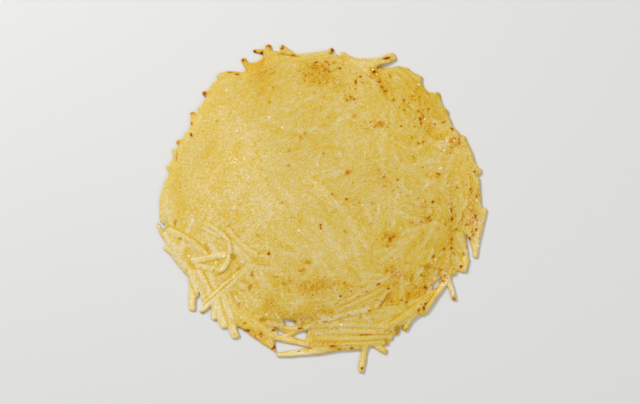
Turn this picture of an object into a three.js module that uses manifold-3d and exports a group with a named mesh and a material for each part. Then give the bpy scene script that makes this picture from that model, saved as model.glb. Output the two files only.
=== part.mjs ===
// Potato rosti: one round cake of coarsely grated potato, pressed flat in a pan and fried.
// The shreds have fused into a single body. Its rim is ragged where single shreds stick out.
// Units are millimetres and +Z is up. The underside lies on Z = 0, and the origin is the middle
// of the cake's outline box on that underside.
import * as THREE from "three";
import { mergeVertices } from "three/addons/utils/BufferGeometryUtils.js";
import Module from "manifold-3d";

const wasm = await Module();
wasm.setup();

// ---- Driving dimensions ----

const CROWN_THICKNESS = 9.5; // of the pressed body at its middle
const RIM_THICKNESS = 4.6; // of the pressed body where its edge starts to round over
const FLAT_SHARE = 3.2; // higher keeps the top flatter before it falls to the rim
const CENTRE_Y = 5; // the body's middle lies this far behind the origin, because shreds reach out in front

// Distance from the body's middle to its edge, every 15 degrees from +X, turning towards +Y.
const RIM_RADII = [
  116, 115, 112, 111, 114, 109, 110, 113, 112, 114, 112, 115,
  116, 117, 111, 112, 110, 104, 106, 107, 109, 106, 108, 115,
];

const SHRED_THICKNESS = 3.2;
const SHRED_WIDTH = 4.2;
const SHRED_PROUD = 1.1; // how far a shred on top stands over the pressed body

const TOP_SHREDS = 46; // scattered over the top by the seeded rule
const RIM_SHREDS = 16; // laid along the rim by the seeded rule
const SEED = 4107;

// Shreds that stick out of the rim: tip x, tip y, root x, root y, sideways bow, width.
const RIM_FEATURES = [
  [-50, 115.5, -32, 111, 2.0, 3.4],
  [-39.5, 120.8, -42, 104, 1.2, 4.0],
  [-51, 105.5, -36, 113, 0.0, 4.6],
  [-37, 116.5, -22, 114, 0.0, 4.0],
  [-31, 119.8, -12, 107, 0.5, 4.0],
  [-58, 109.5, -48, 93, 0.5, 4.2],
  [-77, 97, -52, 98, 1.5, 4.4],
  [-80.5, 90, -58, 95, 0.5, 5.2],
  [-88, 84.5, -74, 87, 0.5, 4.0],
  [-97.5, 70, -94, 52, 1.5, 3.8],
  [-107, 49, -90, 40, 1.0, 4.2],
  [-114, 29, -96, 34, 0.5, 4.6],
  [-113, 20, -112, -9, -3.0, 5.0],
  [-119.5, -9, -106, -32, -1.5, 5.0],
  [-115, -28, -98, -48, 1.0, 5.6],
  [-95.5, -75, -97, -44, 0.5, 5.4],
  [-89.5, -74, -92, -42, 0.5, 5.8],
  [-87, -77, -64, -54, -1.0, 4.6],
  [-85, -68, -95, -40, -1.5, 4.6],
  [-80.5, -83.5, -76, -60, 0.0, 4.6],
  [-72.5, -89, -80, -58, 1.0, 5.8],
  [-64, -95.5, -74, -62, 1.0, 6.4],
  [-58, -93, -66, -72, 0.0, 4.6],
  [-33.5, -104.5, -66, -82, 0.5, 5.4],
  [-32.5, -108.5, 14, -100, -1.5, 4.2],
  [-40, -93, 6, -103, -1.0, 4.2],
  [-33, -101, -58, -84, 0.5, 4.4],
  [-48, -83, -2, -91, -0.5, 4.2],
  [-9.5, -102, -8, -80, 0.0, 5.0],
  [55, -91.5, 8, -93, 0.0, 4.6],
  [52, -97, 4, -98, 0.6, 4.6],
  [40, -102.5, -4, -100, 0.6, 4.6],
  [57, -88.5, 30, -95, 0.5, 5.0],
  [28, -121, 34, -96, -0.8, 4.4],
  [47.5, -106, 32, -93, 0.0, 4.4],
  [61, -90, 80, -62, 1.0, 4.0],
  [70, -82, 94, -46, 0.0, 4.4],
  [97.5, -67.5, 88, -46, -1.0, 4.4],
  [103, -47, 107, -24, -1.5, 4.6],
  [93.5, -57, 97, -34, 0.5, 4.8],
  [103.5, -46, 90, -22, -1.0, 4.4],
  [107, -30, 97, -4, -2.0, 5.0],
  [111.5, -35, 118.2, 1, -1.3, 6.0],
  [117.5, 2, 115.5, 26, 0.6, 4.6],
  [117, 26, 98, 38, 1.0, 4.6],
  [104, 54, 113, 26, 0.5, 4.2],
  [92.5, 70, 76, 88, 0.5, 4.0],
  [85, 84.5, 90, 58, 0.0, 4.2],
  [73, 95.5, 48, 102, -1.0, 5.0],
  [64, 101, 40, 103, -0.5, 4.6],
  [53, 111.5, 28, 103, 1.0, 6.2],
  [16, 114.5, 34, 100, 0.0, 4.2],
  [9, 117.5, -12, 110, -1.0, 3.6],
];

// Loose-lying shreds on the front left of the top: start x, y, end x, y, sideways bow, width.
const TOP_FEATURES = [
  [-86, -12, -68, -28, 1.5, 3.8],
  [-68, -27, -79, -47, 4.0, 3.6],
  [-84, -9, -65, -26, 1.5, 3.6],
  [-68, -17, -46, -37, -1.0, 4.6],
  [-104, -19, -82, -36, 1.5, 4.4],
  [-94, -41, -70, -33, -0.5, 4.2],
  [-92, -42, -78, -46, -0.8, 3.8],
  [-84, -70, -46, -42, 1.0, 4.4],
  [-71, -60, -52, -92, -1.0, 4.6],
  [-14, -90, 37, -78, -2.0, 4.4],
  [28, -84, 52, -60, -1.0, 4.2],
  [38, -34, 76, -10, 2.0, 4.4],
  [84, -36, 104, 6, 1.0, 4.6],
];

// Places near the rim where the shreds don't meet and leave a gap right through:
// x, y, length, width, and the direction that it runs in, in degrees from +X.
const GAPS = [
  [-16.5, -94, 10, 4.4, 10],
  [-25.5, -86, 5, 3.2, -20],
  [-29, -92.5, 4.5, 3, 0],
];

// ---- Seeded draws ----

function seededDraw(seed) {
  let state = seed >>> 0;
  return () => {
    state = (state + 0x6d2b79f5) >>> 0;
    let t = Math.imul(state ^ (state >>> 15), 1 | state);
    t = (t + Math.imul(t ^ (t >>> 7), 61 | t)) ^ t;
    return ((t ^ (t >>> 14)) >>> 0) / 4294967296;
  };
}

const draw = seededDraw(SEED);
const between = (low, high) => low + (high - low) * draw();

// ---- Outline and thickness of the pressed body ----

// The edge's distance from the body's middle at an angle, on a smooth closed curve through RIM_RADII.
function rimRadius(angle) {
  const count = RIM_RADII.length;
  const place = ((angle / (2 * Math.PI)) * count + count) % count;
  const i = Math.floor(place);
  const t = place - i;
  const at = (k) => RIM_RADII[(i + k + count) % count];
  const [a, b, c, d] = [at(-1), at(0), at(1), at(2)];
  const slope = (c - a) / 2;
  const bend = a - 2.5 * b + 2 * c - 0.5 * d;
  const twist = (d - a) / 2 + 1.5 * (b - c);
  return ((twist * t + bend) * t + slope) * t + b;
}

// Low, broad swells in the pressed top.
function swell(x, y) {
  return 0.35 * Math.sin(x / 13 + 1.1) * Math.sin(y / 11 + 0.4);
}

function topHeight(x, y) {
  const dx = x;
  const dy = y - CENTRE_Y;
  const share = Math.min(1, Math.hypot(dx, dy) / rimRadius(Math.atan2(dy, dx)));
  const crown = RIM_THICKNESS + (CROWN_THICKNESS - RIM_THICKNESS) * (1 - share ** FLAT_SHARE);
  return crown + swell(x, y);
}

// ---- Solids ----

const WELD = 1e-3; // corners closer than this are one corner
const TRIM_DEPTH = 1; // the pieces start this far below the underside, and are trimmed flat

// The mesh as a manifold-3d solid, with shared vertices merged and collapsed faces left out.
function solidOf(geometry) {
  geometry.deleteAttribute("normal");
  geometry.deleteAttribute("uv");
  const merged = mergeVertices(geometry, WELD);
  const corners = merged.index.array;
  const kept = [];
  for (let i = 0; i < corners.length; i += 3) {
    const [a, b, c] = [corners[i], corners[i + 1], corners[i + 2]];
    if (a !== b && b !== c && c !== a) kept.push(a, b, c);
  }
  return new wasm.Manifold(
    new wasm.Mesh({
      numProp: 3,
      vertProperties: merged.attributes.position.array,
      triVerts: new Uint32Array(kept),
    }),
  );
}

// The pressed body: a disc turned on a lathe at radius 1, then drawn out to the rim's outline.
function pressedBody() {
  const topRings = 4;
  const around = 36;
  const profile = [new THREE.Vector2(0, 0), new THREE.Vector2(0.98, 0)];
  profile.push(new THREE.Vector2(1, 0.4), new THREE.Vector2(0.992, 0.82));
  for (let ring = 0; ring <= topRings; ring++) {
    profile.push(new THREE.Vector2(0.965 * Math.cos((ring / topRings) * (Math.PI / 2)) ** 0.9, 1));
  }
  profile[profile.length - 1].x = 0;
  const disc = new THREE.LatheGeometry(profile, around).rotateX(Math.PI / 2);
  const place = disc.attributes.position;
  for (let i = 0; i < place.count; i++) {
    const share = Math.hypot(place.getX(i), place.getY(i));
    const angle = Math.atan2(place.getY(i), place.getX(i));
    const x = rimRadius(angle) * share * Math.cos(angle);
    const y = CENTRE_Y + rimRadius(angle) * share * Math.sin(angle);
    const rise = Math.abs(place.getZ(i));
    place.setXYZ(i, x, y, rise > 0 ? rise * topHeight(x, y) : -TRIM_DEPTH);
  }
  return solidOf(disc);
}

// Cross-sections of width 1 and height 1. A bar shows at the rim, and its two corners at FOOT go down
// to the trim depth, so that no hollow is sealed under it. A ridge shows only on top of the body.
const FOOT = -0.5;
const sectionOf = (corners) => new THREE.Shape(corners.map(([x, y]) => new THREE.Vector2(x, y)));
const BAR = sectionOf([[0.44, FOOT], [0.5, 0], [0.27, 0.5], [-0.27, 0.5], [-0.5, 0], [-0.44, FOOT]]);
const RIDGE = sectionOf([[0.5, -0.45], [0.32, 0.5], [-0.32, 0.5], [-0.5, -0.45]]);

// A shred along a path through its middles, with slightly narrower ends.
function shred(section, path, width, steps) {
  const bar = new THREE.ExtrudeGeometry(section, { depth: 1, steps, bevelEnabled: false });
  const corner = bar.attributes.position;
  for (let i = 0; i < corner.count; i++) {
    const along = corner.getZ(i);
    const middle = path.getPoint(along);
    const way = path.getTangent(along);
    const side = new THREE.Vector3(-way.y, way.x, 0).normalize();
    const taper = 1 - 0.28 * (2 * along - 1) ** 4;
    middle.addScaledVector(side, corner.getX(i) * width * taper);
    const height = middle.z + corner.getY(i) * SHRED_THICKNESS * taper;
    corner.setXYZ(i, middle.x, middle.y, corner.getY(i) === FOOT ? -TRIM_DEPTH : height);
  }
  return solidOf(bar);
}

// A path from start to end in plan, bowed sideways to its left, with a height at each of its three stations.
function bowedPath([x0, y0], [x1, y1], bow, heights) {
  const length = Math.hypot(x1 - x0, y1 - y0);
  const left = [-(y1 - y0) / length, (x1 - x0) / length];
  const bend = [(x0 + x1) / 2 + 2 * bow * left[0], (y0 + y1) / 2 + 2 * bow * left[1]];
  return new THREE.QuadraticBezierCurve3(
    new THREE.Vector3(x0, y0, heights[0]),
    new THREE.Vector3(bend[0], bend[1], heights[1]),
    new THREE.Vector3(x1, y1, heights[2]),
  );
}

// The height at which a shred's middle lies so that it stands proud of the pressed top.
const onTop = (x, y, proud) => topHeight(x, y) - SHRED_THICKNESS / 2 + proud;

function rimFeature([tipX, tipY, rootX, rootY, bow, width]) {
  const lying = SHRED_THICKNESS / 2 + between(0.1, 1.4);
  const root = onTop(rootX, rootY, 0.4);
  const path = bowedPath([tipX, tipY], [rootX, rootY], bow, [lying, (lying + root) / 2 + 0.9, root]);
  return shred(BAR, path, width, 3);
}

function topFeature([x0, y0, x1, y1, bow, width]) {
  const middle = onTop((x0 + x1) / 2, (y0 + y1) / 2, 1.3 * SHRED_PROUD);
  const path = bowedPath([x0, y0], [x1, y1], bow, [
    onTop(x0, y0, 0.8 * SHRED_PROUD),
    middle + 0.4,
    onTop(x1, y1, 0.8 * SHRED_PROUD),
  ]);
  return shred(RIDGE, path, width, 5);
}

// A shred on the top. Those further out lie more nearly along the rim, as a spatula leaves them.
function scatteredShred() {
  const angle = between(0, 2 * Math.PI);
  const share = Math.sqrt(between(0.01, 0.82));
  const [x, y] = [
    share * rimRadius(angle) * Math.cos(angle),
    CENTRE_Y + share * rimRadius(angle) * Math.sin(angle),
  ];
  const heading = angle + Math.PI / 2 + between(-1, 1) * (1.5 - share);
  const reach = between(11, 21);
  const [ux, uy] = [Math.cos(heading) * reach, Math.sin(heading) * reach];
  const proud = SHRED_PROUD * between(0.35, 1);
  const path = bowedPath([x - ux, y - uy], [x + ux, y + uy], between(-2.5, 2.5), [
    onTop(x - ux, y - uy, proud - 0.7),
    onTop(x, y, proud + 0.3),
    onTop(x + ux, y + uy, proud - 0.7),
  ]);
  return shred(RIDGE, path, SHRED_WIDTH * between(0.85, 1.25), 3);
}

// A shred that lies along the rim, part of it past the pressed body.
function rimShred(index) {
  const angle = ((index + between(0.1, 0.9)) / RIM_SHREDS) * 2 * Math.PI;
  const radius = rimRadius(angle) - between(0.5, 3);
  const [x, y] = [radius * Math.cos(angle), CENTRE_Y + radius * Math.sin(angle)];
  const heading = angle + Math.PI / 2 + between(-0.35, 0.35);
  const reach = between(9, 15);
  const [ux, uy] = [Math.cos(heading) * reach, Math.sin(heading) * reach];
  const lying = SHRED_THICKNESS / 2 + between(0, 1.6);
  const path = bowedPath([x - ux, y - uy], [x + ux, y + uy], -1.2, [lying, lying + 0.4, lying]);
  return shred(BAR, path, SHRED_WIDTH * between(0.9, 1.2), 2);
}

// A gap between shreds, as an eight-sided prism that runs out past the top and the underside.
function gapBetween([x, y, length, width, direction]) {
  const oval = new THREE.Shape().absellipse(0, 0, length / 2, width / 2, 0, 2 * Math.PI);
  const through = 2 * CROWN_THICKNESS;
  const prism = new THREE.ExtrudeGeometry(oval, { depth: through, curveSegments: 8, bevelEnabled: false });
  prism.rotateZ((direction / 180) * Math.PI).translate(x, y, -through / 4);
  return solidOf(prism);
}

// What lies below the underside's plane, cut off so that the cake rests flat.
function belowRest() {
  return solidOf(new THREE.BoxGeometry(300, 300, 4 * TRIM_DEPTH).translate(0, 0, -2 * TRIM_DEPTH));
}

// The largest piece, without loose scraps and the hollows that fusing has sealed.
function oneSolid(fused) {
  const pieces = fused.decompose();
  return pieces.reduce((best, piece) => (piece.volume() > best.volume() ? piece : best));
}

function fusedCake() {
  const shreds = [
    ...RIM_FEATURES.map(rimFeature),
    ...TOP_FEATURES.map(topFeature),
    ...Array.from({ length: TOP_SHREDS }, scatteredShred),
    ...Array.from({ length: RIM_SHREDS }, (_, i) => rimShred(i)),
  ];
  const fused = shreds.reduce((cake, piece) => cake.add(piece), pressedBody());
  const cuts = [...GAPS.map(gapBetween), belowRest()];
  return oneSolid(cuts.reduce((cake, cut) => cake.subtract(cut), fused));
}

function geometryOf(solid) {
  const { vertProperties, triVerts, numProp, numVert } = solid.getMesh();
  const corners = new Float32Array(numVert * 3);
  for (let i = 0; i < numVert; i++) {
    corners.set(vertProperties.subarray(i * numProp, i * numProp + 3), i * 3);
  }
  const geometry = new THREE.BufferGeometry();
  geometry.setAttribute("position", new THREE.BufferAttribute(corners, 3));
  geometry.setIndex(new THREE.BufferAttribute(triVerts, 1));
  geometry.computeVertexNormals();
  return geometry;
}

// ---- The model ----

const friedPotato = new THREE.MeshStandardMaterial({ color: 0xdcbb52, roughness: 0.5, metalness: 0 });
const rosti = new THREE.Mesh(geometryOf(fusedCake()), friedPotato);
rosti.name = "rosti";

const model = new THREE.Group();
model.add(rosti);

export default model;
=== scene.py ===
"""Potato rosti: a flat cake of coarsely grated potato, pressed and pan-fried, on a pale floor.

Plan sizes are in millimetres from the middle of the cake, +X to the right and +Y to the back, and
heights are millimetres over the floor. The mesh is made in millimetres and scaled to metres at the
end. The cake is one fused body: its outline is the pressed round joined with the shreds that stick
out of it, less the gaps between them, and over a thousand shreds are pressed into its top.
"""

import logging
import math
from collections.abc import Callable, Iterable, Sequence
from dataclasses import dataclass, replace
from enum import Enum
from typing import TypeVar

import bmesh
import bpy
import numpy as np
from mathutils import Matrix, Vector


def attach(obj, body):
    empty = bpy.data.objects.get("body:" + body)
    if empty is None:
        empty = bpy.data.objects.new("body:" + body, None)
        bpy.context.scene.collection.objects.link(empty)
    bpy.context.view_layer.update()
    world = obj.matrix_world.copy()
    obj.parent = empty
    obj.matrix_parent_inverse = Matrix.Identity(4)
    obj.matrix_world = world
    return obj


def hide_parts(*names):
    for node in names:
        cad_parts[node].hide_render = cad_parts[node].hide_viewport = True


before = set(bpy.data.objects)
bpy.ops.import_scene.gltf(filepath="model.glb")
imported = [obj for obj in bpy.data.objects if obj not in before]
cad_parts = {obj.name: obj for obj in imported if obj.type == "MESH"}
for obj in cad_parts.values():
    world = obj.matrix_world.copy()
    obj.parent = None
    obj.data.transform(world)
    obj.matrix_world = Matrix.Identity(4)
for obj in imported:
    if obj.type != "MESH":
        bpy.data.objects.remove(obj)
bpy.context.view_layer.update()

LOG = logging.getLogger("rosti")
MM = 0.001
SEED = 4107
REACH = 150.0  # half the side of the square that seeded noise covers
TINY = 1e-6
CUT_END = 0.42  # how far short of a shred's end its run stops, in widths
SPAN_STEPS = 24  # how many places are worked out between two knots of a path
PLAIN_TONE = 0.45  # the tone where no shred shows
NODE = "rosti"
BODY = "root"
NUMBER = "number"  # the mesh layer that holds each point's number

Point = tuple[float, float]
Shade = tuple[int, int, int]
Noise = tuple[float, float, float]
Values = np.ndarray
Socket = bpy.types.NodeSocket
Made = TypeVar("Made")


def made_from(make: Callable[..., Made], rows: Iterable[tuple]) -> tuple[Made, ...]:
    """Makes one thing from each row, whose values are in the order of its fields."""
    return tuple(make(*row) for row in rows)


def ease(t: Values) -> Values:
    """Rounds both ends of a ramp from 0 to 1."""
    return t * t * (3 - 2 * t)


def curved(knots: Sequence[Values], t: Values) -> Values:
    """Follows the smooth curve through four knots.

    Args:
        knots: The knots, each a number or an array.
        t: How far to go from the second knot, 0, to the third, 1.

    Returns:
        The places on the curve.
    """
    p0, p1, p2, p3 = knots
    bend = (2 * p0 - 5 * p1 + 4 * p2 - p3) * t**2 + (3 * p1 - p0 - 3 * p2 + p3) * t**3
    return p1 + 0.5 * ((p2 - p0) * t + bend)


@dataclass(frozen=True)
class Gap:
    """A gap between shreds, right through the cake: the corners of a convex shape, anticlockwise."""

    corners: tuple[Point, ...]

    def clear(self, x: Values, y: Values) -> Values:
        """Gives the distance of places from the gap; inside it is negative."""
        out = np.full_like(x, -REACH)
        for (ax, ay), (bx, by) in zip(self.corners, self.corners[1:] + self.corners[:1]):
            length = math.hypot(bx - ax, by - ay)
            out = np.maximum(out, ((x - ax) * (by - ay) - (y - ay) * (bx - ax)) / length)
        return out


@dataclass(frozen=True)
class Patch:
    """An oval place on the cake: its middle, half length, half width, strength and turn in degrees."""

    x: float
    y: float
    long: float
    wide: float
    strength: float = 1.0
    turn: float = 0.0

    def cover(self, x: Values, y: Values, power: float = 2.0) -> Values:
        """Gives how much of the patch lies on each place, 1 at its middle and 0 well outside."""
        c, s = math.cos(math.radians(self.turn)), math.sin(math.radians(self.turn))
        u = ((x - self.x) * c + (y - self.y) * s) / self.long
        v = ((y - self.y) * c - (x - self.x) * s) / self.wide
        return self.strength * np.exp(-(np.hypot(u, v) ** power))


@dataclass(frozen=True)
class Cake:
    """The pressed round: its thickness, its outline, the gaps near its rim and its thin places.

    The radii are at even steps of angle about its centre, from +X towards +Y.
    """

    centre_y: float = 5.0
    crown: float = 9.5
    rim: float = 4.6
    flatness: float = 3.2
    swell: float = 0.35
    swell_spans: Point = (13.0, 11.0)
    edge_share: float = 0.97
    edge_fade: float = 0.06
    shred_thickness: float = 3.0
    radii: tuple[float, ...] = (
        116.4, 116.5, 114.6, 112, 112, 113.0, 113.5, 110.5, 107.0, 109.6, 109.6, 113,
        110.5, 117, 114, 111.8, 113, 114.7, 118.5, 116.5, 117, 112.5, 111, 112,
        111, 114, 112, 112, 110, 111.5, 108.5, 110, 110, 109.5, 114, 117,
    )
    gaps: tuple[Gap, ...] = tuple(Gap(corners) for corners in (
        ((-121.8, -10.2), (-119.3, -14.4), (-116.9, -18), (-115.8, -17.6), (-117.8, -12.5), (-119.2, -10.2)),
        ((-91.2, -60.5), (-92.3, -67.8), (-93.7, -76.5), (-88.5, -76.5), (-87.6, -72.6)),
        ((-35.4, -97.9), (-34.4, -105.4), (-33.2, -107.4), (-6.8, -104.1)),
        ((-23.4, -95.3), (-12, -98.7), (-10.6, -91.2), (-15.6, -91.5)),
        ((-34.9, -89.8), (-31.6, -94.6), (-25.4, -92.9)),
        ((-28.6, -82.3), (-26.9, -87.3), (-19.6, -88.2), (-20.7, -83.8)),
        ((106.2, -18), (109, -38.5), (112.4, -38.5), (111.8, -31.5), (109.9, -24.5)),
        ((81.6, -60.8), (84.6, -60), (89.2, -52.4), (87.4, -51.6), (82.6, -56.4)),
        ((41, 104.5), (46.7, 103), (56, 104.8), (56, 108.8), (43.2, 105.6)),
        ((-53.5, 108.6), (-47.6, 108.2), (-43.4, 111.8), (-44, 114), (-54, 116.5)),
    ))

    thin: tuple[Patch, ...] = made_from(Patch, (
        (-22, -94, 22, 13, 3.1, -8), (108, -34, 10, 22, 2), (-92, -66, 10, 14, 1.2),
        (84, -55, 10, 10, 3.2, 30), (-116, -14, 6, 8, 1.6), (-25, -87, 9, 6, 2.2),
    ))

    def radius(self, bearing: Values) -> Values:
        """Gives the round's distance from the cake's centre.

        Args:
            bearing: Directions from the centre, in radians from +X towards +Y.

        Returns:
            The distance in each direction.
        """
        rim = np.array(self.radii)
        place = np.mod(bearing, math.tau) / math.tau * len(rim)
        low = np.floor(place).astype(int)
        return curved([rim[(low + k) % len(rim)] for k in (-1, 0, 1, 2)], place - low)

    def share(self, x: Values, y: Values) -> Values:
        """Gives how far out places are: 0 at the centre, 1 on the round's outline."""
        across = y - self.centre_y
        return np.hypot(x, across) / self.radius(np.arctan2(across, x))

    def height(self, x: Values, y: Values) -> Values:
        """Gives the height of the smooth top, which falls to one shred's thickness beyond the round."""
        share = self.share(x, y)
        swell = self.swell * np.sin(x / self.swell_spans[0] + 1.1) * np.sin(y / self.swell_spans[1] + 0.4)
        dome = self.rim + (self.crown - self.rim) * (1 - np.minimum(share, 1) ** self.flatness)
        outside = np.clip((share - self.edge_share) / self.edge_fade, 0, 1)
        thin = sum(patch.cover(x, y) for patch in self.thin)
        return (dome + swell - thin) * (1 - outside) + self.shred_thickness * outside


class Grain:
    """Smooth seeded noise from -1 to 1, with a random value at each corner of a square mesh."""

    def __init__(self, draw: np.random.Generator, cell: float) -> None:
        """Draws the corner values."""
        self.cell = cell
        count = int(2 * REACH / cell) + 4
        self.corners = draw.uniform(-1, 1, (count, count))

    def at(self, x: Values, y: Values) -> Values:
        """Gives the noise at some places."""
        u = (np.clip(x, -REACH, REACH) + REACH) / self.cell
        v = (np.clip(y, -REACH, REACH) + REACH) / self.cell
        i, j = u.astype(int), v.astype(int)
        s, t = ease(u - i), ease(v - j)
        near = self.corners[i, j] * (1 - s) + self.corners[i + 1, j] * s
        far = self.corners[i, j + 1] * (1 - s) + self.corners[i + 1, j + 1] * s
        return near * (1 - t) + far * t


GOLDEN = made_from(Patch, (
    (0, 103, 16, 13, 0.15), (-44, 92, 14, 10, 0.17, 20), (45, 100, 18, 8, 0.1, -25),
    (68, 82, 22, 13, 0.16, -45), (92, 58, 26, 12, 0.07, -65), (60, -66, 20, 12, 0.14, 20),
    (80, -38, 26, 13, 0.1, 60), (50, -22, 12, 8, 0.12, 20), (100, 2, 16, 34, 0.02), (-6, -55, 16, 6, 0.14, 5),
    (-38, -72, 11, 9, 0.13, 60), (-15, -80, 14, 6, 0.12, 10), (71, 87, 13, 7, 0.3, -40),
    (30, 72, 15, 12, 0.1), (8, 14, 16, 14, 0.06), (-108, 16, 10, 22, 0.12), (10, -98, 30, 6, 0.06, 2),
    (-48, 106, 10, 8, 0.3), (-91, 69, 10, 12, 0.15, 40), (-52, -92, 14, 6, 0.1, -40),
    (-75, 90, 12, 8, 0.08, 30), (110, 26, 8, 14, 0.12, 5), (-10, 88, 26, 14, 0.09), (72, 44, 16, 18, 0.1),
    (50, 46, 10, 10, 0.04), (90, -30, 12, 12, 0.12), (-18, -50, 22, 10, 0.07), (74, -52, 14, 12, 0.06),
    (-52, 90, 10, 8, 0.06), (-92, -68, 8, 10, 0.08), (-10, -92, 12, 6, 0.1), (-30, -92, 10, 6, 0.06),
    (10, 96, 16, 14, 0.06), (-76, 32, 18, 16, 0.07), (-92, -30, 12, 12, 0.06), (92, 20, 12, 24, 0.06),
    (20, 110, 12, 6, 0.14), (-48, 112, 8, 5, 0.06), (-72, 72, 12, 10, 0.05),
))
PALE = made_from(Patch, (
    (-60, 60, 16, 12, 0.08, 60), (-36, 2, 28, 20, 0.11, 10), (-50, 22, 14, 16, 0.1), (42, 20, 24, 24, 0.13),
    (-48, 8, 12, 10, 0.04), (30, -70, 14, 14, 0.12), (10, -92, 14, 8, 0.05), (-50, -70, 9, 9, 0.14),
    (-60, -30, 20, 12, 0.09), (30, -32, 14, 12, 0.09), (-32, 68, 14, 12, 0.09), (34, 48, 14, 10, 0.07),
    (90, 50, 10, 12, 0.08), (-10, 111, 8, 5, 0.08), (-86, -10, 16, 10, 0.06), (-90, -58, 14, 24, 0.14, 25),
    (-104, -28, 12, 18, 0.08, 35), (8, -20, 24, 16, 0.06, 30), (26, 107, 20, 8, 0.13),
    (58, 92, 10, 8, 0.05, -40), (-72, -86, 10, 12, 0.14), (24, -118, 8, 12, 0.1), (96, -60, 6, 9, 0.22),
    (86, -54, 10, 8, 0.2), (-27, -89, 15, 8, 0.14), (-20, -107, 26, 3, 0.2, 2), (10, -86, 44, 12, 0.08, 3),
    (-114, -5, 5, 30, 0.16, 10), (-95, 45, 12, 30, 0.06, -25), (85, 5, 35, 55, 0.05),
    (116, -20, 6, 20, 0.08, -10), (20, 72, 10, 20, 0.05, -35),
))
TOASTED = made_from(Patch, (
    (-4, -56, 17, 5, 0.6, 5), (-38, -72, 5, 8, 0.6, 10), (-15, -80, 12, 5, 0.5, 15),
    (2, -101.5, 10, 2.5, 0.7), (-47, -93, 9, 4, 0.6, -30), (-47, 106, 8, 7, 0.6), (-38, 87, 10, 4, 0.3, 30),
    (-32, 111, 16, 4, 0.45, -5), (70, 86, 12, 5, 0.4, -38), (19, 27, 6, 4, 0.4, 30), (-14, 53, 3.5, 3, 0.5),
    (50, -23, 6, 4, 0.6, 40), (96, 47, 5, 6, 0.1), (23, 66, 4, 5, 0.45), (46, -57, 6, 4, 0.4),
    (76, -62, 7, 6, 0.3), (-62, -88, 5, 2, 0.5, -30), (23, -74, 20, 4, 0.3, 15), (80, 66, 12, 5, 0.3, -40),
    (112, -10, 4, 10, 0.35, -10), (95, -18, 3, 18, 0.3),
))
BOLD = made_from(Patch, (
    (-80, -55, 42, 42, 0.95), (60, -55, 60, 40, 0.9, 30), (95, 10, 30, 70, 0.55), (-10, -95, 60, 22, 0.8),
    (62, 85, 40, 22, 0.5, -40), (20, 30, 50, 60, 0.25), (-30, -45, 26, 20, 0.35),
))
# Where oil glints in the coat; the same values brighten the colour as painted light and place painted glints,
# and a negative strength darkens it.
OILY_AND_PAINTED_LIGHT = made_from(Patch, (
    (-55, 25, 10, 9), (-58, 40, 16, 12, 0.7), (-75, 66, 20, 16, 0.6), (-50, 5, 40, 34, 0.5),
    (-70, -55, 36, 30, 0.7), (-3, 15, 10, 5, 0.6, -40), (-90, 0, 20, 40, 0.5), (40, 60, 40, 30, 0.3),
    (92, -46, 14, 12, 0.25), (20, -15, 40, 30, 0.1), (112, 0, 12, 60, 0.6), (-88, -72, 20, 20, 0.5),
    (-30, -92, 24, 12, 0.6), (92, 52, 10, 14, 0.6), (0, 34, 40, 46, -0.16), (34, 104, 20, 10, 0.4, -15),
    (88, -34, 9, 8, -0.35), (84, -54, 16, 12, 0.4), (-56, -84, 16, 14, 0.5),
))
SPECKLED = made_from(Patch, (
    (-2, 104, 11, 5, 0.4), (-5, 95, 14, 8, 0.35), (44, 89, 3, 8, 0.5, 25), (40, 100, 7, 2.5, 0.65, 30),
    (40, 61, 8, 3, 0.6, 10), (51, -22, 5, 3.5, 0.6, 50), (95, -15, 2.5, 22, 0.6), (70, -11, 6, 3, 0.3, 30),
    (55, -52, 7, 8, 0.45), (74, -60, 8, 8, 0.45), (-5, -57, 16, 6, 0.55, 5), (3, -101, 12, 3, 0.6),
    (-50, -92, 12, 3.5, 0.5, -30), (-14, -82, 12, 5, 0.45, 10), (96, 46, 6, 8, 0.35),
    (112, -8, 5, 12, 0.6, -10), (70, 68, 20, 10, 0.28, -40), (-45, 100, 9, 6, 0.4), (88, -48, 12, 8, 0.4, 60),
    (48, 6, 30, 30, 0.1), (110, 12, 4, 12, 0.5), (21.5, 80.5, 4.5, 2, 0.7), (68.5, 36, 2.5, 3, 0.4),
    (44.5, 22.5, 3, 6, 0.45, 30), (74.5, 1, 3, 3.5, 0.6, -30), (77.5, -8, 4, 2.5, 0.7, 30),
    (48, -91, 7, 2, 0.5, 10), (98, 47, 5, 5, 0.4), (14, -72, 30, 10, 0.25, 20), (25, 98, 30, 12, 0.12),
    (-38, -72, 6, 8, 0.4),
))
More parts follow.
